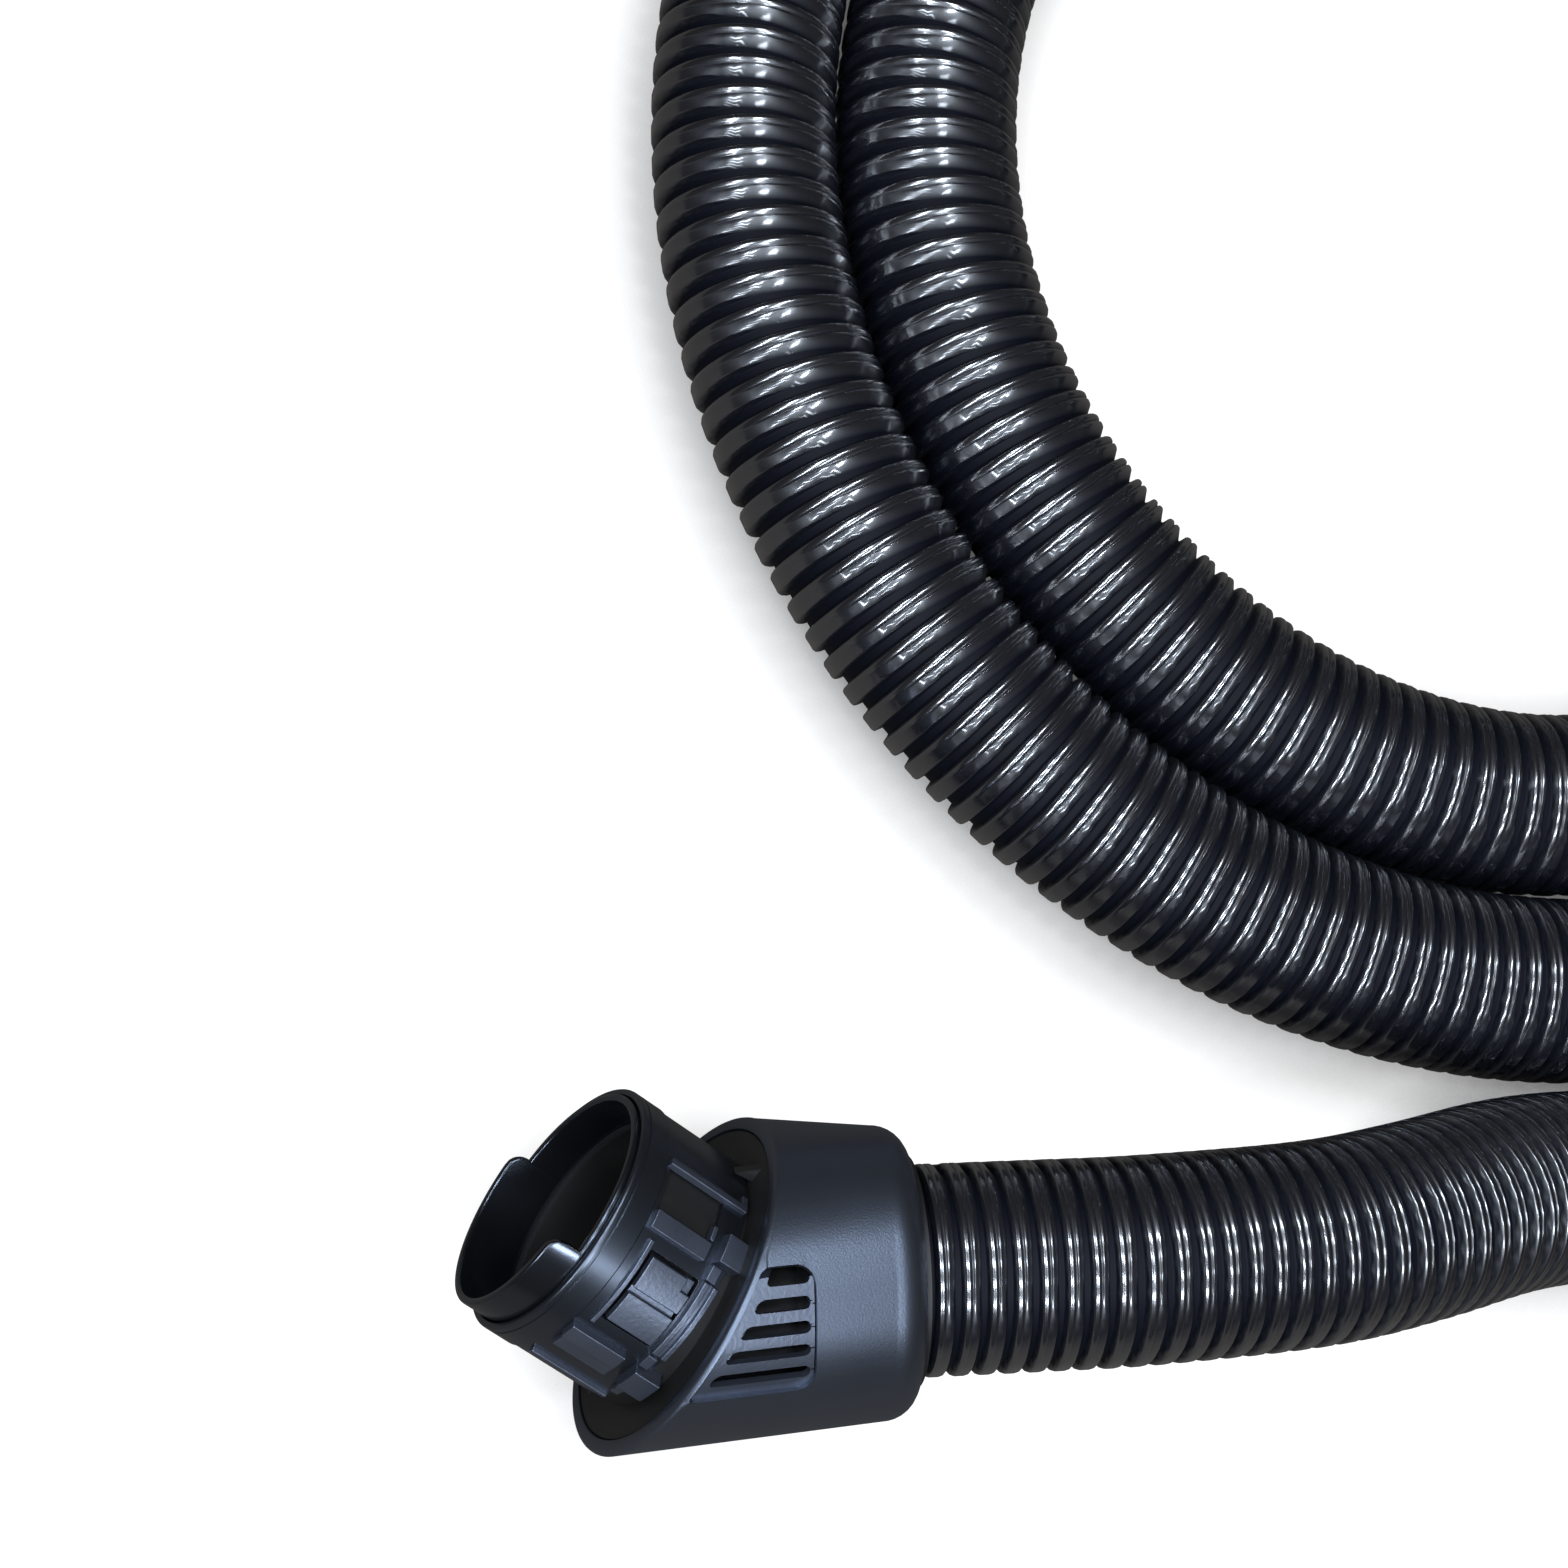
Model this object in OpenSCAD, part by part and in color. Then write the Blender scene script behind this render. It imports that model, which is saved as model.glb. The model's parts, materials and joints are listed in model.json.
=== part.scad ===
// Suction hose of a vacuum cleaner: a ribbed hose with a swivelling elbow cuff at the machine end
// and a swivelling wand cuff at the other. Millimetres, +Z up, the hose lies on the plane z = 0.
// The origin is under the middle of the elbow cuff.

/* [Hose] */
// Outside diameter over the ribs
hose_d = 42; // [40:0.5:44]
// Bore of the hose
hose_bore = 35; // [30:0.5:35.5]
// Depth of the groove between two ribs
rib_depth = 2.2; // [1:0.1:2.4]
// Number of ribs along the whole hose
ribs = 198; // [100:2:200]
// Space between two turns of the coil
turn_gap = 1; // [0.6:0.1:4]
// Radius of the outer turn where it passes the far left
coil_r = 194.5; // [185:0.5:210]
// Straight hose before the wand cuff
tail_straight = 69; // [46:1:80]

/* [Sleeve] */
// Length from the hose end to the middle of the mouth
sleeve_len = 47; // [46:0.5:60]
// Outside diameter of the mouth
mouth_d = 72; // [70:0.5:80]
// Outside diameter at the shoulder
shoulder_d = 58; // [55.5:0.5:60]
// Length of the rounding from the shoulder to the hose end
shoulder_round = 6.5; // [6:0.5:9]
// Wall of the sleeve
sleeve_wall = 2.2; // [1.8:0.1:2.4]
// Rise of the sleeve towards the hose
tilt = 7; // [5:0.5:9]
// Turn of the bend about the sleeve
roll = 36; // [30:1:40]
// Angle between the mouth's axis and the sleeve
cut_angle = 33; // [28:0.5:35]
// Width of the rim round the cover disc
rim_t = 3; // [2.8:0.1:3.4]
// Width of the window
window_w = 25; // [20:0.2:27]
// Distance of the window from the hose end
window_from = 22.5; // [20:0.5:24]
// Number of bars in the grille
grille_bars = 5; // [3:1:6]
// Width of a bar
bar_w = 2; // [1.4:0.1:2.4]

/* [Elbow] */
// Angle between the stub and the sleeve
stub_angle = 39; // [38:0.5:41]
// Length of the stub from the middle of the mouth
stub_len = 29; // [28:0.5:34]
// Space between the mouth's edge and the latch collar
collar_inset = 9.5; // [8.6:0.1:9.7]
// Wall of the latch collar
collar_wall = 1.4; // [1.2:0.1:1.6]
// Length of the latch collar
collar_len = 26; // [25.4:0.2:26.2]
// Thickness of the cover disc
disc_t = 2; // [1.6:0.1:2.2]
// Space between the mouth's edge and the hub in the seat plate
hub_inset = 10; // [9.6:0.1:10.4]
// Wall of the hub
hub_wall = 3.1; // [3:0.1:3.4]
// Turn of the latches and the window from the side of the bend
face_turn = 14; // [8:1:18]
// Wall of the inlet spigot
spigot_wall = 1.6; // [1.3:0.1:1.8]
// Height of the spigot's lip beyond the collar, near side
lip_high = 7; // [6:0.5:11]
// Height of the lip on the far side
lip_low = 4.5; // [2:0.5:5]

/* [Latch] */
// Length of a latch plate along the stub
plate_len = 10.8; // [9:0.2:12]
// Width of a latch plate
plate_w = 14.8; // [12:0.2:16]
// Distance of the plates from the collar's mouth
plate_from = 10.6; // [10:0.2:12]
// How far a plate goes in
latch_travel = 1; // [0.6:0.1:1.1]
// Length of the smooth front band of the collar
band_len = 6.6; // [5:0.2:6.6]

/* [Hose collar] */
// Outside diameter of the collar that holds the hose
insert_d = 45.6; // [45.6:0.1:45.8]
// Length of the sleeve beyond the collar, for the elbow's seat and the air duct
seat_room = 28; // [28:0.5:30]

/* [Wand cuff] */
// Length of the wand cuff
wand_len = 110; // [95:1:125]
// Diameter of the wand that it takes
wand_d = 35; // [32:0.5:35.5]
// Depth of the wand's socket
socket_len = 42; // [30:1:50]
// Outside diameter over the grip
grip_d = 47; // [45:0.5:50]
// Wall of the wand cuff
wand_wall = 3; // [2.4:0.1:3.2]
// Number of grooves in the grip
grip_grooves = 6; // [3:1:8]

/* [Fits] */
// Radial clearance of a turning fit
run_fit = 0.08; // [0.05:0.01:0.1]
// Radial clearance of a fixed fit
fixed_fit = 0.1; // [0.05:0.01:0.15]
// Free space between parts that move past each other
free_gap = 0.3; // [0.25:0.05:0.35]

/* [Hidden] */

$fn = 96;
hull_fn = 48;
black = "#17191f";
satin = "#2b2e36";
rubber = "#101114";
steel = "#b9bcc0";

// Sleeve and mouth. Depths run inwards from the mouth's plane.
mouth_r = mouth_d / 2;
hub_d = mouth_d - 2 * hub_inset;
collar_d = mouth_d - 2 * collar_inset;
shoulder_r = shoulder_d / 2;
seat_r = mouth_r - rim_t;
disc_r = seat_r - free_gap;
disc_recess = 0.4;
seat_depth = disc_recess + disc_t + 0.1;
seal_groove = 0.7;
seal_in = hub_d / 2 + 3;
seal_out = seal_in + 2.5;
plate_back = seat_depth + 2.4;
retainer_t = 1.8;
retainer_lap = 2;
retainer_r = hub_d / 2 + retainer_lap;
retainer_back = plate_back + 0.1 + retainer_t;
hub_bore_r = hub_d / 2 - hub_wall;
cavity_r = mouth_r - (sleeve_wall + plate_back * sin(cut_angle)) / cos(cut_angle);
rim_round = 1.2;

// Hose collar in the sleeve. Positions run along the sleeve from its hose end.
insert_r = insert_d / 2;
insert_len = sleeve_len - seat_room;
insert_out = 1;
opening_r = insert_r + run_fit;
shoulder_edge = 0.4;
end_wall = 3;
flange_t = 2.7;
flange_r = insert_r + 1.9;
chamber_r = flange_r + free_gap;
ring_t = 2;
ring_from = end_wall + free_gap + flange_t + 0.2;
ring_groove_r = chamber_r + 1.2;
seal_t = 2.8;
seal_w = 4;
bulkhead_from = insert_len + seal_t + 0.2;
bulkhead_t = 2;
cavity_from = bulkhead_from + bulkhead_t;
duct_lead = 4;
duct_r = hose_bore / 2 + duct_lead;
duct_wall = 2.4;
duct_step = 0.2;
duct_front = retainer_back + 0.5;
duct_front_r = hub_d / 2;

// Window and grille. Heights run outwards from the sleeve's axis.
window_round = 4;
grille_sunk = 1;
grille_t = 1.6;
rim_land = seat_depth + 0.9;
top_slot = 3.8;
low_land = 0.6;
bar_pitch = (window_w - top_slot - low_land - bar_w) / (grille_bars - 1);
grille_border = 2.6;
grille_end = 0.8;

// Stub, collar and spigot. Positions run back from the collar's mouth.
collar_r = collar_d / 2;
collar_bore_r = collar_r - collar_wall;
band_step = 0.3;
rear_r = collar_r - band_step;
neck_r = collar_r - 0.9;
neck_tube_r = collar_bore_r - fixed_fit;
neck_tube_from = 8;
spigot_r = collar_bore_r - free_gap;
spigot_seal_t = 0.6;
spigot_step = neck_tube_from - spigot_seal_t - 0.1;
lip_turn = 0;
button_r = collar_r + 1.2;
button_base_r = collar_bore_r - 0.2;
button_flange_t = 0.8;
button_flange = 1.2;
pocket_r = button_base_r - button_flange_t - latch_travel - 0.1;
neck_bore_r = pocket_r - 1;
spigot_tail_r = neck_bore_r - fixed_fit;
spring_t = 0.3;
spring_w = 8;

// Raised features of the latch face, from the collar's mouth and from its wall outwards.
sunk = 0.5;
fin_w = plate_w + 4.2;
fin_out = 0.9;
fin_gap = 0.8;
hook_from = plate_from - 3.6;
hook_len = 13;
hook_w = 6.5;
hook_out = 1.5;
hook_turn = 32;
cube_len = collar_len - 22.5;
cube_w = 6;
cube_out = 2.6;
rail_w = 1.2;
rail_turn = 57;
bar_len = 1.4;
bar_out = 1.1;

// Hose end of the sleeve, placed so that the rim touches the floor and the cuff's extents are
// centred on the origin.
function spin_x(v, a) = [v.x, v.y * cos(a) - v.z * sin(a), v.y * sin(a) + v.z * cos(a)];
function spin_y(v, a) = [v.x * cos(a) + v.z * sin(a), v.y, v.z * cos(a) - v.x * sin(a)];
function cuff_dir(v) = spin_y(spin_x(v, roll), -tilt);
function unit(v) = v / norm(v);
// Half the extent along axis k of a circle of radius r whose axis is e.
function ring_half(r, e, k) = r * sqrt(1 - e[k] * e[k]);
hose_axis = cuff_dir([1, 0, 0]);
mouth_axis = cuff_dir([-cos(cut_angle), sin(cut_angle), 0]);
stub_axis = cuff_dir([-cos(stub_angle), sin(stub_angle), 0]);
stub_side = cuff_dir([sin(stub_angle), cos(stub_angle), 0]);
stub_face = cuff_dir([0, 0, 1]);
mouth_mid = -sleeve_len * hose_axis;
collar_mid = mouth_mid + stub_len * stub_axis;
rim_mid = mouth_mid - 2 * rim_round * mouth_axis;
// Edge of the lip: it falls from the near side, a = 0, to the far side, a = -180.
lip_edge = [for (a = [-180:10:0]) let (b = a + lip_turn)
    collar_mid + (lip_low + (lip_high - lip_low) * (1 + cos(a)) / 2) * stub_axis
    + spigot_r * (cos(b) * stub_face + sin(b) * stub_side)];
left_x = min([for (p = lip_edge) p.x]);
right_x = insert_out * hose_axis.x + ring_half(insert_r, hose_axis, 0);
front_y = rim_mid.y - ring_half(mouth_r, mouth_axis, 1);
back_y = collar_mid.y + ring_half(collar_r, stub_axis, 1);
low_z = rim_mid.z - ring_half(mouth_r, mouth_axis, 2);
cuff_end = [-(left_x + right_x) / 2, -(front_y + back_y) / 2, -low_z];

// Route of the hose. The lead leaves the cuff straight, drops to the floor and joins the coil.
// The coil is one flat spiral whose radius falls by one step a turn. Its last half turn rolls up
// on top of the turn outside it, and the hose ends there in the wand cuff.
coil_mid = [220, 239];
coil_from = -82;
coil_to = 620;
climb_to = 800;
coil_step = hose_d + turn_gap;
climb_room = 5;
lead_route = [[128, 0, 46.5], [155, 4, 41], [181, 9, 32.5], [202, 11, 26.5], [223, 11, 22.5]];
hose_start = cuff_end + insert_out * hose_axis;
hose_bent = hose_start + hose_d * hose_axis;
function coil_radius(t) = coil_r - coil_step * (t - 180) / 360;
function polar(r, t, z) = [coil_mid.x + r * cos(t), coil_mid.y + r * sin(t), z];
function coil_point(t) = polar(coil_radius(t), t, hose_d / 2);
function smooth(u) = u * u * (3 - 2 * u);
// On the climb the hose rolls through angle w round the turn outside it, a little further off.
function climb_roll(t) = 90 * smooth((t - coil_to) / (climb_to - coil_to));
function climb_off(w) = coil_step + climb_room * sin(min(90, 5 * w));
function climb_point(t) = let (w = climb_roll(t), d = climb_off(w))
    polar(coil_radius(t - 360) - d * cos(w), t, hose_d / 2 + d * sin(w));
// Curve through b and c, steered by a and d.
function curve(a, b, c, d, u) =
    0.5 * (2 * b + (c - a) * u + (2 * a - 5 * b + 4 * c - d) * u * u
           + (3 * b - a - 3 * c + d) * u * u * u);
lead_marks = concat([hose_start + 0.5 * hose_d * hose_axis, hose_bent], lead_route,
                    [coil_point(coil_from), coil_point(coil_from + 6)]);
tail_bend = climb_point(climb_to);
tail_dir = unit(tail_bend - climb_point(climb_to - 1));
tail_axis = unit([tail_dir.x, tail_dir.y, 0]);
hose_end = tail_bend + tail_straight * tail_axis;
route = concat(
    [for (i = [0:5]) hose_start + i / 6 * hose_d * hose_axis],
    [for (k = [1:len(lead_marks) - 3]) for (i = [0:7])
        curve(lead_marks[k - 1], lead_marks[k], lead_marks[k + 1], lead_marks[k + 2], i / 8)],
    [for (t = [coil_from:1:coil_to]) coil_point(t)],
    [for (t = [coil_to + 1:1:climb_to]) climb_point(t)],
    [for (i = [1:6]) tail_bend + i / 6 * tail_straight * tail_axis]);
last = len(route) - 1;
run = [for (i = 0, s = 0; i <= last; s = s + norm(route[min(i + 1, last)] - route[i]), i = i + 1) s];
hose_len = run[last];
run_x = [for (i = [0:last]) [run[i], route[i].x]];
run_y = [for (i = [0:last]) [run[i], route[i].y]];
run_z = [for (i = [0:last]) [run[i], route[i].z]];
function hose_at(s) = [lookup(s, run_x), lookup(s, run_y), lookup(s, run_z)];

// Rings of the hose: crests on the even stations and grooves on the odd ones.
sides = 8;
side_turn = 180 / sides;
stations = 2 * ribs;
pace = hose_len / stations;
station = [for (k = [0:stations]) hose_at(k * pace)];
function heading(k) = unit(station[min(k + 1, stations)] - station[max(k - 1, 0)]);
function ring(k, r) = let (t = heading(k), s = unit(cross([0, 0, 1], t)), u = cross(t, s))
    [for (j = [0:sides - 1]) let (a = 360 * j / sides + side_turn)
        station[k] + r / cos(side_turn) * (cos(a) * s + sin(a) * u)];
lead_count = 6 + 8 * (len(lead_marks) - 3);
lead_last = 2 * round(run[lead_count] / pace / 2);
coil_last = 2 * round(run[lead_count + coil_to - coil_from] / pace / 2);
bore_step = 4;

// Half the width of a ring towards v, whose flats face sideways, up and halfway between.
function reach(v) = let (a = abs(atan2(v.z, norm([v.x, v.y]))) % (2 * side_turn))
    hose_d / 2 * cos(a - side_turn) / cos(side_turn);
// Least gap between stations more than half a turn apart, on every crest.
half_turn = round(2.5 * coil_r / pace / 2) * 2;
turn_gaps = [for (i = [lead_last:2:stations - half_turn]) for (j = [i + half_turn:2:stations])
    let (v = station[j] - station[i], d = norm(v)) if (d < 2 * hose_d) d - 2 * reach(v)];
echo("hose length", hose_len, "rib pitch", 2 * pace, "least gap of the coil to itself", min(turn_gaps));

// Wand cuff. Positions run inwards from its hose end, as in the sleeve.
wand_flange_r = insert_r + 1.5;
wand_chamber_r = wand_flange_r + free_gap;
wand_groove_r = wand_chamber_r + 0.7;
wand_shell_r = wand_chamber_r + 1.8;
wand_stop_r = hose_bore / 2 - 0.7;
wand_socket_r = wand_d / 2 + 0.1;
wand_neck_r = wand_socket_r + wand_wall;
wand_bulge = bulkhead_from + 8;
wand_taper = 8;
grip_from = wand_bulge + wand_taper + 6;
grip_to = 10;
grip_groove = 3;
wand_end = hose_end + insert_out * tail_axis;

module in_cuff() {
    translate(cuff_end) rotate([roll, -tilt, 0]) children();
}
// +Z along the sleeve, out of its hose end.
module on_sleeve() {
    in_cuff() rotate([0, 90, 0]) children();
}
// +Z out of the mouth, from the middle of its plane.
module on_mouth() {
    in_cuff() translate([-sleeve_len, 0, 0]) rotate([0, -90, -cut_angle]) children();
}
// +Z out of the stub, from the middle of the collar's mouth.
module on_stub() {
    in_cuff() translate([-sleeve_len, 0, 0]) rotate([0, -90, -stub_angle])
        translate([0, 0, stub_len]) children();
}
// As on_stub, with +X towards the latch on one side of the stub.
module on_latch(side) {
    on_stub() rotate([0, 0, face_turn + side]) children();
}
// +Z along the wand cuff towards the hose, from the cuff's hose end.
module on_wand() {
    translate(wand_end) rotate([0, 0, atan2(tail_axis.y, tail_axis.x)]) rotate([0, -90, 0]) children();
}

module tube(r_in, r_out, from, to) {
    translate([0, 0, from]) difference() {
        cylinder(r = r_out, h = to - from);
        translate([0, 0, -1]) cylinder(r = r_in, h = to - from + 2);
    }
}
module rod(r, from, to) {
    translate([0, 0, from]) cylinder(r = r, h = to - from);
}
// Part of a ring in front of +X, between heights from and to, w wide and turned by a.
module ring_pad(r_in, r_out, from, to, w, a = 0) {
    intersection() {
        tube(r_in, r_out, from, to);
        rotate([0, 0, a]) translate([0, -w / 2, from - 1]) cube([r_out + 1, w, to - from + 2]);
    }
}

// Outer body of the sleeve from its mouth to its rounded hose end, drawn in by inset.
module sleeve_body(inset) {
    edge_r = opening_r + shoulder_edge;
    hull() {
        on_mouth() rotate_extrude($fn = hull_fn) polygon(concat(
            [[0, -2 * rim_round], [0, 0]],
            [for (a = [90:-30:0]) [mouth_r - inset / cos(cut_angle) - rim_round * (1 - cos(a)),
                                   -rim_round * (1 - sin(a))]],
            [[mouth_r - inset / cos(cut_angle), -2 * rim_round]]));
        on_sleeve() rotate_extrude($fn = hull_fn) polygon(concat(
            [[0, -shoulder_round - 2], [shoulder_r - inset, -shoulder_round - 2]],
            [for (a = [0:15:90]) [edge_r - inset + (shoulder_r - edge_r) * cos(a),
                                  -shoulder_round * (1 - sin(a))]],
            [[0, 0]]));
    }
}
// Everything deeper than d behind the mouth's plane is kept.
module behind_mouth(d) {
    difference() {
        children();
        on_mouth() rod(2 * mouth_r, -d, 2 * mouth_r);
    }
}
// Opening seen square on: rounded towards the hose, open towards the mouth.
module window_block(from, w) {
    on_sleeve() rotate([0, 0, 180 - face_turn]) translate([hub_d / 2 - 1.5, 0, 0])
        rotate([90, 0, 90]) linear_extrude(mouth_r) {
            translate([-w / 2, -2 * sleeve_len]) square([w, 2 * sleeve_len - from - window_round]);
            translate([-w / 2 + window_round, -2 * sleeve_len])
                square([w - 2 * window_round, 2 * sleeve_len - from]);
            for (x = [-1, 1])
                translate([x * (w / 2 - window_round), -from - window_round]) circle(r = window_round);
        }
}
module slots() {
    on_sleeve() rotate([0, 0, 180 - face_turn]) for (k = [0:grille_bars - 1]) {
        low = low_land + bar_w + k * bar_pitch;
        wide = k == grille_bars - 1 ? top_slot : bar_pitch - bar_w;
        translate([hub_d / 2 - 2, window_w / 2 - low - wide, -2 * sleeve_len])
            cube([mouth_r, wide, 2 * sleeve_len - window_from - grille_end]);
    }
}

module cuff_sleeve() {
    color(satin) difference() {
        sleeve_body(0);
        hull() {
            on_mouth() translate([0, 0, -plate_back - 0.5]) cylinder(r = cavity_r, h = 0.5, $fn = hull_fn);
            on_sleeve() translate([0, 0, -cavity_from - 0.5])
                cylinder(r = shoulder_r - sleeve_wall, h = 0.5, $fn = hull_fn);
        }
        on_sleeve() {
            rod(duct_r + fixed_fit, -cavity_from - 1, -bulkhead_from + 1);
            rod(chamber_r, -bulkhead_from, -end_wall);
            rod(opening_r, -end_wall - 1, 1);
            rod(ring_groove_r, -ring_from - ring_t, -ring_from);
        }
        on_mouth() {
            rod(seat_r, -seat_depth, 1);
            rod(hub_d / 2 + run_fit, -plate_back - 1, 1);
            tube(seal_in - 0.1, seal_out + 0.1, -seat_depth - seal_groove, -seat_depth + 0.1);
        }
        behind_mouth(rim_land) window_block(window_from, window_w);
    }
}
module vent_grille() {
    color(black) difference() {
        intersection() {
            difference() {
                sleeve_body(grille_sunk);
                sleeve_body(grille_sunk + grille_t);
            }
            behind_mouth(rim_land) window_block(window_from, window_w);
        }
        behind_mouth(rim_land + grille_border) slots();
    }
}
module duct_skin(inset, more) {
    hull() {
        on_mouth() translate([0, 0, -duct_front - 1])
            cylinder(r = duct_front_r - inset, h = 1 + more, $fn = hull_fn);
        on_sleeve() translate([0, 0, -cavity_from - 0.5])
            cylinder(r = duct_r - inset - duct_step, h = 0.5, $fn = hull_fn);
    }
}
module air_duct() {
    color(black) difference() {
        union() {
            duct_skin(0, 0);
            on_sleeve() rod(duct_r, -cavity_from - 0.8, -bulkhead_from);
        }
        duct_skin(duct_wall, 1);
        on_sleeve() rod(duct_r - duct_wall, -cavity_from - 1, 0);
    }
}
// Snap ring with a gap, in the groove of radius r.
module snap_ring(r) {
    difference() {
        tube(insert_r + free_gap, r - fixed_fit, -ring_from - ring_t + 0.1, -ring_from - 0.1);
        translate([0, -3, -ring_from - ring_t]) cube([r + 1, 6, ring_t + 1]);
    }
}
module hose_lock_ring() {
    color(steel) on_sleeve() snap_ring(ring_groove_r);
}
module swivel_seal() {
    color(rubber) on_mouth()
        tube(seal_in, seal_out, -seat_depth - seal_groove, -disc_recess - disc_t - 0.05);
}

screw_r = hub_bore_r + hub_wall / 2 + 0.1;
screw_tip = disc_recess + 1;
hub_bore_top = 2;
module at_screws() {
    for (a = [45:90:315]) on_mouth() rotate([0, 0, a]) translate([screw_r, 0, 0]) children();
}
module gusset(from) {
    rotate([90, 0, 90]) translate([0, 0, -1]) linear_extrude(2)
        polygon([[from, -disc_recess - 0.5], [disc_r - 1.8, -disc_recess - 0.5],
                 [from, -disc_recess + 4]]);
}
module swivel_elbow() {
    pocket_w = plate_w + 2 * (button_flange + free_gap);
    color(black) difference() {
        union() {
            on_mouth() {
                rod(disc_r, -disc_recess - disc_t, -disc_recess);
                rod(hub_d / 2, -plate_back - 0.1, -disc_recess - 0.5);
                gusset(collar_r + 0.8);
                mirror([0, 1, 0]) gusset(neck_r - 1);
            }
            difference() {
                on_stub() rod(neck_r, -stub_len - 6, -collar_len);
                on_mouth() rod(2 * mouth_r, -stub_len, -disc_recess - disc_t / 2);
            }
            on_stub() rod(neck_tube_r, -collar_len - 1, -neck_tube_from);
        }
        on_mouth() rod(hub_bore_r, -plate_back - 1, hub_bore_top);
        on_stub() rod(neck_bore_r, -stub_len - 1, 0);
        at_screws() rod(0.85, -plate_back - 1, -screw_tip);
        for (side = [0, 180]) on_latch(side) difference() {
            translate([pocket_r / 2, -pocket_w / 2,
                       -plate_from - plate_len - button_flange - free_gap])
                cube([pocket_r, pocket_w, plate_len + 2 * (button_flange + free_gap)]);
            rod(pocket_r, -collar_len, 0);
        }
    }
}
module retainer_ring() {
    color(satin) difference() {
        on_mouth() tube(hub_bore_r, retainer_r, -retainer_back, -plate_back - 0.1);
        at_screws() rod(0.85, -retainer_back - 1, 0);
        at_screws() rod(1.5, -retainer_back - 1, -retainer_back + 1.15);
    }
}
module retainer_screws() {
    color(steel) at_screws() {
        rod(1.4, -retainer_back, -retainer_back + 1.1);
        rod(0.8, -retainer_back + 1, -screw_tip - 0.2);
    }
}

module latch_face() {
    // Fin, double bar, two hook blocks with their rear cubes, and two side rails.
    root = collar_r - sunk;
    end = -collar_len + band_step;
    ring_pad(root, collar_r + fin_out, -plate_from + fin_gap, -plate_from + fin_gap + 1, fin_w);
    for (z = [end, end + bar_len + sunk])
        ring_pad(root, collar_r + bar_out, z, z + bar_len, plate_w + 2);
    for (a = [-1, 1]) {
        ring_pad(root, collar_r + hook_out, -hook_from - hook_len, -hook_from, hook_w, a * hook_turn);
        ring_pad(root - band_step, collar_r + cube_out, -stub_len, -collar_len + cube_len, cube_w,
                 a * (hook_turn + 1));
        ring_pad(root, collar_r + fin_out, end, -hook_from - sunk, rail_w, a * rail_turn);
    }
}
module latch_collar() {
    color(satin) difference() {
        union() {
            on_stub() rotate_extrude() polygon([
                [collar_bore_r, 0], [collar_r, 0], [collar_r, -band_len], [rear_r, -band_len],
                [rear_r, -collar_len], [collar_bore_r, -collar_len]]);
            for (side = [0, 180]) on_latch(side) latch_face();
        }
        for (side = [0, 180]) on_latch(side)
            translate([collar_r / 2, -plate_w / 2 - free_gap, -plate_from - plate_len - free_gap])
                cube([collar_r, plate_w + 2 * free_gap, plate_len + 2 * free_gap]);
        on_mouth() rod(2 * mouth_r, -stub_len, -disc_recess + 0.2);
    }
}
module inlet_spigot() {
    slant = atan((lip_high - lip_low) / (2 * spigot_r));
    color(black) on_stub() difference() {
        union() {
            rod(spigot_r, -spigot_step, lip_high + 2);
            rod(spigot_tail_r, -stub_len + 4, -spigot_step + 0.5);
        }
        rod(spigot_r - spigot_wall, -spigot_step + 1.6, lip_high + 3);
        rod(spigot_tail_r - spigot_wall, -stub_len, 0);
        rotate([0, 0, lip_turn]) {
            translate([-2 * spigot_r, 0, 1]) cube([4 * spigot_r, 2 * spigot_r, lip_high + 3]);
            translate([0, 0, (lip_high + lip_low) / 2]) rotate([0, -slant, 0])
                translate([-2 * spigot_r, -2 * spigot_r, 0]) cube([4 * spigot_r, 4 * spigot_r, 20]);
        }
    }
}
module spigot_seal() {
    color(rubber) on_stub()
        tube(spigot_tail_r + fixed_fit, neck_tube_r - free_gap, -neck_tube_from, -spigot_step);
}
module latch_button() {
    difference() {
        union() {
            ring_pad(button_base_r - 0.4, button_r, -plate_from - plate_len, -plate_from, plate_w);
            ring_pad(button_base_r - button_flange_t, button_base_r,
                     -plate_from - plate_len - button_flange, -plate_from + button_flange,
                     plate_w + 2 * button_flange);
        }
        translate([button_r - 0.8, -0.5, -plate_from - plate_len - 1]) cube([2, 1, plate_len + 2]);
    }
}
module latch_spring() {
    top = button_base_r - button_flange_t - 0.02;
    low = -plate_from - plate_len + 1.5;
    high = -plate_from - 1.5;
    ring_pad(top - spring_t, top, low, high, spring_w);
    ring_pad(pocket_r + 0.02, top, low, low + 0.5, spring_w);
    ring_pad(pocket_r + 0.02, top, high - 0.5, high, spring_w);
}
module latch_button_near() { color(satin) on_latch(0) latch_button(); }
module latch_button_far() { color(satin) on_latch(180) latch_button(); }
module latch_spring_near() { color(steel) on_latch(0) latch_spring(); }
module latch_spring_far() { color(steel) on_latch(180) latch_spring(); }

// Collar that the hose is screwed into, with a flange of radius r.
module hose_collar(r) {
    tube(hose_bore / 2, insert_r, -insert_len, insert_out);
    tube(insert_r - 1, r, -end_wall - free_gap - flange_t, -end_wall - free_gap);
}
module collar_seal() {
    tube(insert_r - free_gap - seal_w, insert_r - free_gap, -insert_len - seal_t, -insert_len);
}
module hose_insert() { color(black) on_sleeve() hose_collar(flange_r); }
module hose_seal() { color(rubber) on_sleeve() collar_seal(); }

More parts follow.
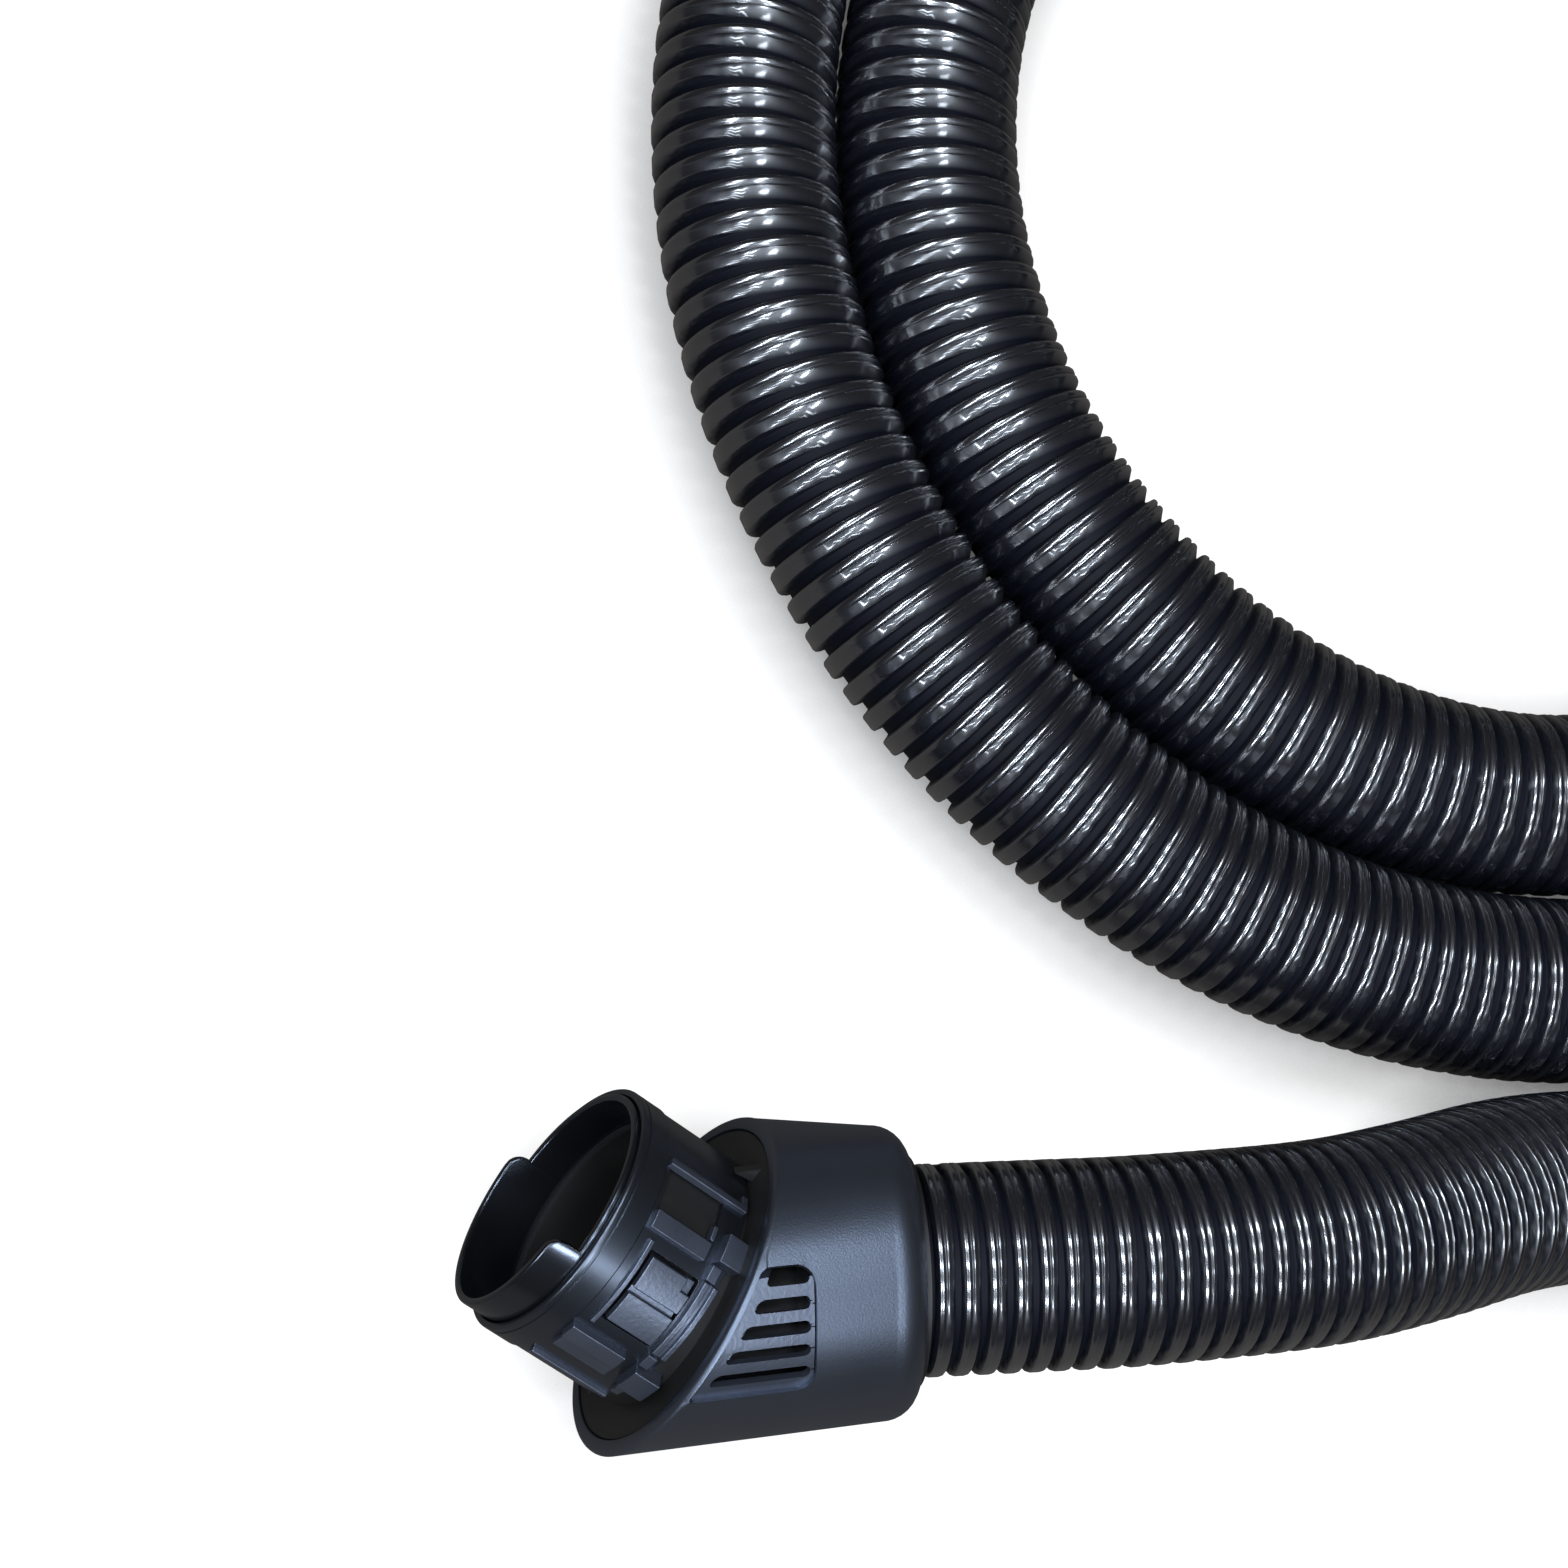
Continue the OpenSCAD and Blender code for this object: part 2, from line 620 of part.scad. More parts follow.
// Ribbed tube from station k0 to k1: one closed skin of triangles, the bore included.
module hose_piece(k0, k1) {
    bore_at = concat([for (k = [k0:bore_step:k1 - 1]) k], [k1]);
    skin = [for (k = [k0:k1]) each ring(k, hose_d / 2 - (k % 2) * rib_depth)];
    bore = [for (k = bore_at) each ring(k, hose_bore / 2 * cos(side_turn))];
    s = len(skin);
    skin_end = s - sides;
    bore_end = len(bore) - sides;
    polyhedron(concat(skin, bore), concat(
        [for (i = [0:sides:skin_end - 1]) for (j = [0:sides - 1]) let (n = (j + 1) % sides)
            each [[i + j, i + sides + j, i + sides + n], [i + j, i + sides + n, i + n]]],
        [for (i = [s:sides:s + bore_end - 1]) for (j = [0:sides - 1]) let (n = (j + 1) % sides)
            each [[i + j, i + n, i + sides + n], [i + j, i + sides + n, i + sides + j]]],
        [for (j = [0:sides - 1]) let (n = (j + 1) % sides) each [[j, n, s + n], [j, s + n, s + j]]],
        [for (j = [0:sides - 1]) let (n = (j + 1) % sides, o = skin_end, b = s + bore_end)
            each [[o + j, b + n, o + n], [o + j, b + j, b + n]]]));
}
module hose_lead() { color(black) hose_piece(0, lead_last); }
module hose_coil() { color(black) hose_piece(lead_last, coil_last); }
module hose_tail() { color(black) hose_piece(coil_last, stations); }

module tool_insert() { color(black) on_wand() hose_collar(wand_flange_r); }
module tool_seal() { color(rubber) on_wand() collar_seal(); }
module tool_lock_ring() { color(steel) on_wand() snap_ring(wand_groove_r); }
module tool_cuff() {
    color(satin) on_wand() difference() {
        rotate_extrude() polygon([
            [0, 0], [wand_shell_r - 2, 0], [wand_shell_r, -2], [wand_shell_r, -wand_bulge],
            [wand_neck_r, -wand_bulge - wand_taper], [wand_neck_r, -wand_len + 1],
            [wand_neck_r - 1, -wand_len], [0, -wand_len]]);
        rod(opening_r, -end_wall - 1, 1);
        rod(wand_chamber_r, -bulkhead_from, -end_wall);
        rod(wand_groove_r, -ring_from - ring_t, -ring_from);
        rod(wand_stop_r, -wand_len - 1, 0);
        rod(wand_socket_r, -wand_len - 1, -wand_len + socket_len);
    }
}
module tool_grip() {
    pitch = (wand_len - grip_from - grip_to) / (grip_grooves + 1);
    color(rubber) on_wand() difference() {
        tube(wand_neck_r, grip_d / 2, -wand_len + grip_to, -grip_from);
        for (k = [1:grip_grooves])
            tube(grip_d / 2 - 0.8, grip_d / 2 + 1, -grip_from - k * pitch - grip_groove / 2,
                 -grip_from - k * pitch + grip_groove / 2);
    }
}

cuff_sleeve();
vent_grille();
air_duct();
hose_lock_ring();
swivel_seal();
swivel_elbow();
retainer_ring();
retainer_screws();
latch_collar();
inlet_spigot();
spigot_seal();
latch_button_near();
latch_button_far();
latch_spring_near();
latch_spring_far();
hose_insert();
hose_seal();
hose_lead();
hose_coil();
hose_tail();
tool_insert();
tool_seal();
tool_lock_ring();
tool_cuff();
tool_grip();
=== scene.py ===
# %% [markdown]
# # A vacuum cleaner hose, made from formulas
#
# A suction hose is a long ribbed tube with a cuff at each end. The cuff at the machine end has an
# elbow that snaps into the machine and a sleeve that turns on the hose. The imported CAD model
# gives every place and size; this script gives the parts their real skins and finishes.
#
# Almost every piece is a *surface worked out with numpy*: a grid of points, each a formula of two
# numbers, which becomes a mesh in one step. Everything is in metres.

# %% Load the model
import json

import bpy
import numpy as np
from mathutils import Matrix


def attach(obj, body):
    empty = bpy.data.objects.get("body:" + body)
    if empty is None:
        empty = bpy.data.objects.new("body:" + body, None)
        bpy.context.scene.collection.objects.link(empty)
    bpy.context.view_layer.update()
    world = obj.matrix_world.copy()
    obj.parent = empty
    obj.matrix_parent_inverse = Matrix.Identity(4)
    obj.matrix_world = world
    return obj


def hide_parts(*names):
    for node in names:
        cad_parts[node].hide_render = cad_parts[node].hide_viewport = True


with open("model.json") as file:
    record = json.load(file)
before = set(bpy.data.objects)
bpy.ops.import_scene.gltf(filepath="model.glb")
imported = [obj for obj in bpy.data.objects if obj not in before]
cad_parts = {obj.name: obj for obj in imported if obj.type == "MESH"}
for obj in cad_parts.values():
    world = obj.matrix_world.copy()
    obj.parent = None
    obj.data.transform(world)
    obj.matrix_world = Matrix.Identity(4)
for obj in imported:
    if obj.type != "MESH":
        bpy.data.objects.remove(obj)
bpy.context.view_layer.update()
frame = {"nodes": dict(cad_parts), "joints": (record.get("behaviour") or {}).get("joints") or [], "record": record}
nodes = frame["nodes"]
joints = {j["name"]: j for j in frame["joints"]}
mounts = {m["name"]: m for m in frame["record"]["mounts"]}
MM = 0.001

# %% [markdown]
# ## The directions that everything hangs on
#
# The model's joints already know the important lines. The sleeve turns about the hose's axis, the
# elbow about the mouth's axis, and the machine port says where the stub points. From those three
# lines a right-handed set of directions follows for each part of the cuff, so no angle is typed
# twice.


# %% Axes of the cuff, from its joints
def unit(v):
    """v divided by its length, for one vector or for rows of them."""
    v = np.asarray(v, float)
    return v / np.linalg.norm(v, axis=-1, keepdims=True)


cuff_end = np.array(joints["cuff_swivel"]["pos_m"])
hose_axis = unit(joints["cuff_swivel"]["axis"])
mouth_mid = np.array(joints["elbow_swivel"]["pos_m"])
mouth_axis = unit(joints["elbow_swivel"]["axis"])
stub_axis = unit(mounts["machine_port"]["axis"])
latch_out = -unit(joints["near_latch_press"]["axis"])
band_len = mounts["machine_port"]["dims"]["length_mm"] * MM
collar_mid = np.array(mounts["machine_port"]["pos_m"]) + band_len / 2 * stub_axis
tail_axis = unit(joints["wand_swivel"]["axis"])
face_up = unit(np.cross(hose_axis, mouth_axis))
side_out = np.cross(face_up, hose_axis)
stub_lean = float(np.degrees(np.arccos(-stub_axis @ hose_axis)))
print("stub leans", round(stub_lean, 1), "degrees off the sleeve")

# %% [markdown]
# ## The camera
#
# A camera is a place, a direction and a lens. Its direction is given here by where the model's
# own X and Z axes point in its view, because those can be read off any view of a box. The
# third axis follows from a cross product, and the three rows form a rotation.

# %% Camera
IMAGE_SIZE = 1568
FOCAL_PIXELS = 2600
SENSOR_WIDTH = 36
x_in_view = np.array([0.9686, -0.0091, -0.2483])
z_in_view = unit([0.2444, 0.2182, 0.9452])
x_in_view = unit(x_in_view - x_in_view @ z_in_view * z_in_view)
world_in_view = np.stack([x_in_view, np.cross(z_in_view, x_in_view), z_in_view], 1)
camera_place = np.array([-110.26, -17.0, 546.3]) * MM

camera_data = bpy.data.cameras.new("camera")
camera_data.sensor_width = SENSOR_WIDTH
camera_data.lens = SENSOR_WIDTH * FOCAL_PIXELS / IMAGE_SIZE
camera_data.clip_start = 0.01
camera_data.clip_end = 20
camera = bpy.data.objects.new("camera", camera_data)
bpy.context.scene.collection.objects.link(camera)
camera_pose = np.eye(4)
camera_pose[:3, :3] = world_in_view.T
camera_pose[:3, 3] = camera_place
camera.matrix_world = camera_pose.T.tolist()
bpy.context.scene.camera = camera
view_right, view_up, to_camera = world_in_view
print("camera stands", round(float(camera_place[2]), 3), "m above the floor")

# %% [markdown]
# ## Turning arrays into meshes
#
# A grid of points with R rows and C columns has (R-1)(C-1) squares. Where the first and last
# columns are neighbours, as round a tube, the grid is *wrapped* and has one column more of
# squares. Building the index array with numpy takes the place of a loop over faces.


# %% Mesh helpers
def grid_faces(rows, cols, wrap):
    """Squares of a rows x cols grid of points numbered row by row.

    Square (i, j) joins points (i, j), (i, j+1), (i+1, j+1) and (i+1, j), with j+1 taken modulo
    cols where the grid is wrapped.
    """
    i = np.arange(rows - 1)[:, None]
    j = np.arange(cols if wrap else cols - 1)[None, :]
    k = (j + 1) % cols
    corners = [i * cols + j, i * cols + k, (i + 1) * cols + k, (i + 1) * cols + j]
    return np.stack(corners, -1).reshape(-1, 4)


def mesh_piece(name, points, faces, smooth=None):
    """A new object from an array of points and a list of face index lists."""
    mesh = bpy.data.meshes.new(name)
    mesh.from_pydata(np.asarray(points).reshape(-1, 3).tolist(), [], [list(f) for f in faces])
    mesh.update()
    mesh.shade_smooth()
    if smooth is not None:
        mesh.set_sharp_from_angle(angle=np.radians(smooth))
    piece = bpy.data.objects.new(name, mesh)
    bpy.context.scene.collection.objects.link(piece)
    return piece


# %% [markdown]
# ## The cuff's own directions
#
# Three sets of directions do for the whole cuff. The sleeve's has its first axis through the
# middle of the window, the mouth's has its third axis out of the mouth, and the stub's points
# its first axis through the near latch. A set is three rows, so a point in it becomes a point in
# the scene with one product: place + local @ rows.


# %% Frames of the cuff
def frame_of(origin, out, along):
    """(origin, rows): the third row is along, and the first is out made square to it."""
    along = unit(along)
    first = unit(np.asarray(out) - np.dot(out, along) * along)
    return np.asarray(origin), np.stack([first, np.cross(along, first), along])


def place_in(frame_rows, local):
    """Points given in a frame's own directions, as points of the scene."""
    origin, rows = frame_rows
    return origin + np.asarray(local) @ rows


face_turn = float(np.arccos(latch_out @ face_up))
window_out = np.cos(face_turn) * face_up + np.sin(face_turn) * side_out
sleeve = frame_of(cuff_end, window_out, hose_axis)
mouth = frame_of(mouth_mid, face_up, mouth_axis)
stub = frame_of(collar_mid, latch_out, stub_axis)
sleeve_len = float(np.linalg.norm(cuff_end - mouth_mid))
stub_len = float((collar_mid - mouth_mid) @ stub_axis)
print("sleeve", round(sleeve_len / MM, 1), "mm, stub", round(stub_len / MM, 1), "mm")
print("the latches are turned by", round(float(np.degrees(face_turn)), 1), "degrees")

# %% [markdown]
# ## Surfaces of revolution with soft corners
#
# Moulded parts have no sharp corners. A profile is typed as a short list of corners, each corner
# is swapped for a small curve, and the result is carried round an axis. If the profile is a
# closed loop, so is the solid.


# %% Profiles, outward faces and soft edges
def soft_corners(corners, radius, steps=4):
    """Each corner of a closed loop becomes a curve that starts and ends radius away from it.

    With the corner c between its neighbours a and b: q(t) = (1-t)^2 p + 2t(1-t) c + t^2 r, where
    p and r lie on the two sides at that distance, or at 0.45 of a shorter side.
    """
    c = np.asarray(corners, float)
    to_a, to_b = np.roll(c, 1, 0) - c, np.roll(c, -1, 0) - c
    len_a = np.linalg.norm(to_a, axis=1, keepdims=True)
    len_b = np.linalg.norm(to_b, axis=1, keepdims=True)
    p = c + to_a / len_a * np.minimum(radius, 0.45 * len_a)
    r = c + to_b / len_b * np.minimum(radius, 0.45 * len_b)
    t = np.linspace(0, 1, steps + 1)[None, :, None]
    q = (1 - t) ** 2 * p[:, None] + 2 * t * (1 - t) * c[:, None] + t**2 * r[:, None]
    return q.reshape(-1, 2)


def outward(points, faces):
    """The faces, turned round if they point into the solid, by the sign of its volume.

    The volume is the sum over triangles of a . (b x c) / 6.
    """
    p, f = np.asarray(points).reshape(-1, 3), np.asarray(faces)
    a, b, c, d = (p[f[:, k]] for k in range(4))
    volume = (a * np.cross(b, c)).sum() + (a * np.cross(c, d)).sum()
    return f if volume > 0 else f[:, ::-1]


def torus_faces(rows, cols):
    """Squares of a grid that is wrapped both ways: the last row joins the first."""
    i, j = np.arange(rows)[:, None], np.arange(cols)[None, :]
    k, n = (j + 1) % cols, (i + 1) % rows
    return np.stack([i * cols + j, i * cols + k, n * cols + k, n * cols + j], -1).reshape(-1, 4)


def finish_edges(piece, width, segments=2, angle=35):
    """A Bevel modifier rounds the edges that turn by more than an angle in degrees."""
    bevel = piece.modifiers.new("soft_edges", "BEVEL")
    bevel.width = width
    bevel.segments = segments
    bevel.limit_method = "ANGLE"
    bevel.angle_limit = np.radians(angle)
    bevel.harden_normals = True
    return piece


# %% [markdown]
# ## The sleeve
#
# The sleeve joins two circles that aren't parallel: the round shoulder at the hose and the
# tilted mouth. The skin that hugs both is *developable*, made of straight lines, and a line joins
# two points where the circles' tangents lie in one plane with it. For each point of the mouth
# the partner on the shoulder is where the triple product of line and tangents is zero. Numpy
# looks at all pairs at once and takes the smallest.

# %% Skin of the sleeve
mouth_r, shoulder_r, opening_r = 36 * MM, 29 * MM, 22.9 * MM
shoulder_round, shoulder_edge = 6.5 * MM, 0.4 * MM
rim_round, rim_t = 1.2 * MM, 3 * MM
seat_depth, seat_r, hub_r = 2.5 * MM, mouth_r - rim_t, 26 * MM
end_wall = 3 * MM
lip_inset_share = 1.15
TRIAL_ANGLES, PARTNER_REACH = 2880, 50
FINE_SIDE, FINE_TURN, COARSE_COLUMNS = 30, 0.8, 110
SKIN_ROWS = 62

mouth_in_sleeve = mouth[1] @ sleeve[1].T
mouth_mid_local = np.array([0, 0, -sleeve_len])


def mouth_ring(u, r, depth):
    """Circle of radius r, a depth behind the mouth's plane, in the sleeve's directions."""
    m = mouth_in_sleeve
    across = np.cos(u)[..., None] * m[0] + np.sin(u)[..., None] * m[1]
    return mouth_mid_local - depth * m[2] + r * across


def shoulder_ring(s, r, z):
    """Circle about the sleeve's axis at height z."""
    return np.stack([r * np.cos(s), r * np.sin(s), z + 0 * s], -1)


def partner_angles(u):
    """For each angle on the mouth, the angle on the shoulder that a straight line joins it to."""
    s = np.linspace(-np.pi, np.pi, TRIAL_ANGLES, endpoint=False)
    m = mouth_in_sleeve
    p = mouth_ring(u, mouth_r, rim_round)[:, None]
    tangent_p = (-np.sin(u)[:, None] * m[0] + np.cos(u)[:, None] * m[1])[:, None]
    q = shoulder_ring(s, shoulder_r, -shoulder_round)[None]
    tangent_q = np.stack([-np.sin(s), np.cos(s), 0 * s], -1)[None]
    triple = np.abs((np.cross(tangent_p + 0 * q, tangent_q + 0 * p) * (q - p)).sum(-1))
    near = np.arctan2(p[..., 1], p[..., 0])
    off = np.abs(np.angle(np.exp(1j * (s[None] - near))))
    triple[off > np.radians(PARTNER_REACH)] = np.inf
    return s[np.argmin(triple, 1)]


toward_window = mouth_in_sleeve[:2, 0]
facing = float(np.arctan2(toward_window[1], toward_window[0]))
close_by = np.radians(np.arange(-FINE_SIDE, FINE_SIDE, FINE_TURN))
further = np.radians(np.linspace(FINE_SIDE, 360 - FINE_SIDE, COARSE_COLUMNS))
mouth_angles = facing + np.concatenate([close_by, further[:-1]])
partners = np.unwrap(partner_angles(mouth_angles))
smooth_by = np.array([0.25, 0.5, 0.25])
whole_turn = 2 * np.pi * np.sign(partners[-1] - partners[0])
closed = np.concatenate([[partners[-1] - whole_turn], partners, [partners[0] + whole_turn]])
partners = np.convolve(closed, smooth_by, "valid")


def sleeve_lines(u, s, t, inset=0.0):
    """Points of the straight lines, t from 0 at the shoulder to 1 at the mouth, set in a little."""
    a = shoulder_ring(s, shoulder_r - inset, -shoulder_round)
    b = mouth_ring(u, mouth_r - lip_inset_share * inset, rim_round)
    return a + np.asarray(t)[:, None, None] * (b - a)


# %% [markdown]
# A hole in a thin wall is made by leaving faces out. A *field* says how far a point is from the
# hole's edge, positive in the plastic. Faces that come too near are dropped, and the new border's
# points slide along the surface until the field is zero there. The edge then follows the formula
# of the hole and not the grid.


# %% Piercing a grid
def surface_normals(grid):
    """Unit normals of a grid of points, from the differences to its neighbours."""
    along = np.gradient(grid, axis=0)
    across = np.roll(grid, -1, 1) - np.roll(grid, 1, 1)
    return unit(np.cross(across, along))


def pierce(points, normals, faces, field, keep):
    """Drops faces where the field falls under keep, and slides their border to field = 0.

    One step of the slide is p - F g / |g|^2, with g the field's gradient laid in the surface.
    """
    value = field(points)
    kept = (value[faces] > keep).all(1)
    dropped = np.zeros(len(points), bool)
    dropped[faces[~kept].ravel()] = True
    border = dropped.copy()
    used = np.zeros(len(points), bool)
    used[faces[kept].ravel()] = True
    border &= used
    p, n = points[border], normals[border]
    step = 0.01 * MM
    for _ in range(4):
        here = field(p)
        slope = np.stack([(field(p + step * e) - here) / step for e in np.eye(3)], -1)
        slope -= (slope * n).sum(-1, keepdims=True) * n
        p = p - here[:, None] * slope / np.maximum((slope**2).sum(-1, keepdims=True), 0.05)
    points = points.copy()
    points[border] = p
    new = np.cumsum(used) - 1
    return points[used], new[faces[kept]]


def pierced_wall(name, frame_rows, grid, normals, field, keep, thickness, edge, out_row, wrap=True):
    """A pierced grid with a wall behind it and soft edges, as a mesh in a frame.

    Normals and faces are turned round if the normal at the start of out_row points at the axis.
    """
    faces = grid_faces(*grid.shape[:2], wrap)
    if normals[out_row, 0] @ grid[out_row, 0] < 0:
        normals, faces = -normals, faces[:, ::-1]
    points, faces = pierce(grid.reshape(-1, 3), normals.reshape(-1, 3), faces, field, keep)
    piece = mesh_piece(name, place_in(frame_rows, points), faces)
    wall = piece.modifiers.new("wall", "SOLIDIFY")
    wall.thickness = thickness
    wall.offset = -1
    print(name, len(points), "points")
    return finish_edges(piece, edge)


# %% Window of the sleeve
window_half, window_round, window_up = 12.2 * MM, 4 * MM, 0.8 * MM
window_from, rim_land, land_round = 22.5 * MM, 1.2 * MM, 1.2 * MM


def depth_behind_mouth(p):
    """How far points in the sleeve's directions lie behind the mouth's plane."""
    return -(p - mouth_mid_local) @ mouth_in_sleeve[2]


def soft_inside(distances, radius):
    """Signed distance to where all distances are below zero, with corners of a radius.

    |max(d + radius, 0)| + min(max(d) + radius, 0) - radius, over the list of distances.
    """
    d = np.stack(distances, -1) + radius
    return np.linalg.norm(np.maximum(d, 0), axis=-1) + np.minimum(d.max(-1), 0) - radius


def window_field(p):
    """Distance from the window's edge, positive in the sleeve's wall."""
    aside = np.abs(p[..., 1] + window_up) - window_half
    hole = soft_inside([aside, p[..., 2] + window_from], window_round)
    hole = soft_inside([hole, rim_land - depth_behind_mouth(p)], land_round)
    return np.where(p[..., 0] > 0, hole, 1.0)


# %% The sleeve's shell
# (radius, height) of the hose end's opening and rounding, then (radius, depth) of the mouth's
# rim and seat
shell_t, shell_keep, shell_edge = 1.4 * MM, 0.35 * MM, 0.3 * MM
turn = np.radians(np.linspace(90, 9, 8))
edge_r = opening_r + shoulder_edge
end_rows = [(opening_r, -end_wall), (opening_r, -0.35 * MM), (opening_r + 0.12 * MM, -0.1 * MM)]
end_rows += [(edge_r + (shoulder_r - edge_r) * np.cos(a), -shoulder_round * (1 - np.sin(a)))
             for a in turn]
rim_turn = np.radians(np.linspace(18, 90, 5))
mouth_rows = [(mouth_r - rim_round * (1 - np.cos(a)), rim_round * (1 - np.sin(a)))
              for a in rim_turn]
mouth_rows += [(seat_r + 0.35 * MM, 0), (seat_r + 0.1 * MM, 0.1 * MM), (seat_r, 0.35 * MM),
               (seat_r, seat_depth - 0.2 * MM), (seat_r - 0.2 * MM, seat_depth),
               (hub_r, seat_depth)]
rows = [shoulder_ring(partners, r, z) for r, z in end_rows]
rows += list(sleeve_lines(mouth_angles, partners, np.linspace(0, 1, SKIN_ROWS)))
rows += [mouth_ring(mouth_angles, r, d) for r, d in mouth_rows]
skin = np.stack(rows)
print("sleeve grid:", skin.shape[:2])

sleeve_shell = pierced_wall(
    "sleeve_shell", sleeve, skin, surface_normals(skin), window_field, shell_keep, shell_t,
    shell_edge, out_row=20)

# %% [markdown]
# ## The vent grille
#
# The grille is a plate that fills the window a little below the skin. It is the same surface,
# set in by a millimetre, on a finer grid. Its field is positive in the window and outside the
# slots, each of which is a strip with rounded ends.

# %% Vent grille
grille_sunk, grille_t, grille_clear = 1.0 * MM, 1.6 * MM, 0.05 * MM
bars, bar_w, top_slot, low_land = 5, 2.1 * MM, 3.7 * MM, 0.4 * MM
bar_pitch = (2 * window_half - top_slot - low_land - bar_w) / (bars - 1)
slot_left, slot_right = 3.4 * MM, window_from + 1.1 * MM
plate_gap, slot_round, grille_keep, grille_edge = 0.35 * MM, 1.15 * MM, 0.14 * MM, 0.28 * MM
PLATE_SIDE, PLATE_TURN, PLATE_FROM, PLATE_ROWS = 28, 0.5, 0.25, 112


def grille_field(p):
    """Positive in the plate: inside the window, short of its hose end, and outside every slot."""
    past_gap = p[..., 2] + window_from + plate_gap
    value = np.minimum(-window_field(p) - grille_clear, -past_gap)
    for k in range(bars):
        low = low_land + bar_w + k * bar_pitch
        wide = top_slot if k == bars - 1 else bar_pitch - bar_w
        middle = window_half - window_up - low - wide / 2
        ends = [slot_left - depth_behind_mouth(p), p[..., 2] + slot_right]
        slot = soft_inside([np.abs(p[..., 1] - middle) - wide / 2, *ends], slot_round)
        value = np.minimum(value, slot)
    return value


u_fine = facing + np.radians(np.arange(-PLATE_SIDE, PLATE_SIDE, PLATE_TURN))
s_fine = np.interp(u_fine, mouth_angles, partners)
plate = sleeve_lines(u_fine, s_fine, np.linspace(PLATE_FROM, 1, PLATE_ROWS), grille_sunk)
plate_normals = unit(np.cross(np.gradient(plate, axis=1), np.gradient(plate, axis=0)))
grille = pierced_wall(
    "grille", sleeve, plate, plate_normals, grille_field, grille_keep, grille_t, grille_edge,
    out_row=0, wrap=False)

# %% [markdown]
# ## The collar and its latches
#
# Everything on the collar lies on a cylinder, so it is placed by three numbers: the *turn* about
# the stub's axis from the near latch, the *place across* that turn, and the height along the
# axis, which is negative behind the collar's mouth. A block whose sides are parallel keeps its
# place across, so its points are x = sqrt(r^2 - y^2) out from the axis.


# %% Blocks on a cylinder
def on_turn(turn, y, z, r):
    """Points at a turn in degrees, a place y across it, a height z and a radius r."""
    a = np.radians(turn)
    x = np.sqrt(r * r - y * y)
    return np.stack([x * np.cos(a) - y * np.sin(a), x * np.sin(a) + y * np.cos(a), z + 0 * x], -1)


def arc_blocks(name, frame_rows, blocks, steps=7):
    """One mesh of curved blocks, each a row: turn, y from and to, z from and to, r from and to.

    A block is a lattice of steps x 2 x 2 points, and its faces are the same index pattern moved
    along by the number of points in a block.
    """
    b = np.asarray(blocks, float)[:, :, None, None, None]
    u = np.linspace(0, 1, steps)[None, :, None, None]
    v = np.array([0, 1])[None, None, :, None]
    w = np.array([0, 1])[None, None, None, :]
    y = b[:, 1] + (b[:, 2] - b[:, 1]) * u + 0 * v * w
    z = b[:, 3] + (b[:, 4] - b[:, 3]) * v + 0 * u * w
    r = b[:, 5] + (b[:, 6] - b[:, 5]) * w + 0 * u * v
    points = on_turn(b[:, 0], y * MM, z * MM, r * MM)
    number = np.arange(steps * 4).reshape(steps, 2, 2)
    side = [number[:, 0, 0], number[:, 1, 0], number[:, 1, 1], number[:, 0, 1]]
    next_side = side[1:] + side[:1]
    loops = [np.stack([p[:-1], p[1:], q[1:], q[:-1]], -1) for p, q in zip(side, next_side)]
    ends = [[s[0] for s in side], [s[-1] for s in side][::-1]]
    pattern = np.concatenate(loops + [np.array(ends)])
    pattern = outward(points[0].reshape(-1, 3), pattern)
    faces = pattern[None] + (np.arange(len(points)) * steps * 4)[:, None, None]
    placed = place_in(frame_rows, points.reshape(-1, 3))
    return mesh_piece(name, placed, faces.reshape(-1, 4), smooth=30)


# %% Collar with the openings for its latches
collar_r, collar_low, collar_bore, collar_len = 26.5 * MM, 26.2 * MM, 25.1 * MM, 26 * MM
collar_rim, collar_wall, collar_keep, collar_edge = 0.6 * MM, 1.05 * MM, 0.16 * MM, 0.2 * MM
COLLAR_SIDES = 480
hole_margin, hole_round = 0.15 * MM, 0.8 * MM
# in mm: half width, upper and lower height of a latch plate, and the gaps round it
plate_half, plate_top, plate_low = 7.4, -10.6, -21.4
gap_beside, gap_below, gap_above = 0.3, 0.5, 0.4
# turn in degrees and size in mm of the recess beside a hook
recess_turn, recess_half, recess_low, recess_top = 43, 5, -20.5, -7.6
# 1 if the turn grows upwards in the camera's view, else -1
up = 1 if stub[1][1] @ view_up > 0 else -1
print("the turn grows", "up" if up > 0 else "down", "in the view")


def opening_field(p):
    """Positive in the collar's wall, negative where a plate or a hook's recess goes through it."""
    value = np.full(p.shape[:-1], 1.0)
    for half_turn in (0, 180):
        for turn, half, z0, z1 in [
            (0, plate_half + gap_beside, plate_low - gap_below, plate_top + gap_above),
            (up * recess_turn, recess_half, recess_low, recess_top),
        ]:
            a = np.radians(turn + half_turn)
            out = p[..., 0] * np.cos(a) + p[..., 1] * np.sin(a)
            y = p[..., 1] * np.cos(a) - p[..., 0] * np.sin(a)
            sides = [y - half * MM, -half * MM - y, p[..., 2] - z1 * MM, z0 * MM - p[..., 2]]
            hole = soft_inside([d - hole_margin for d in sides], hole_round)
            value = np.minimum(value, np.where(out > 0, hole, 1.0))
    return value


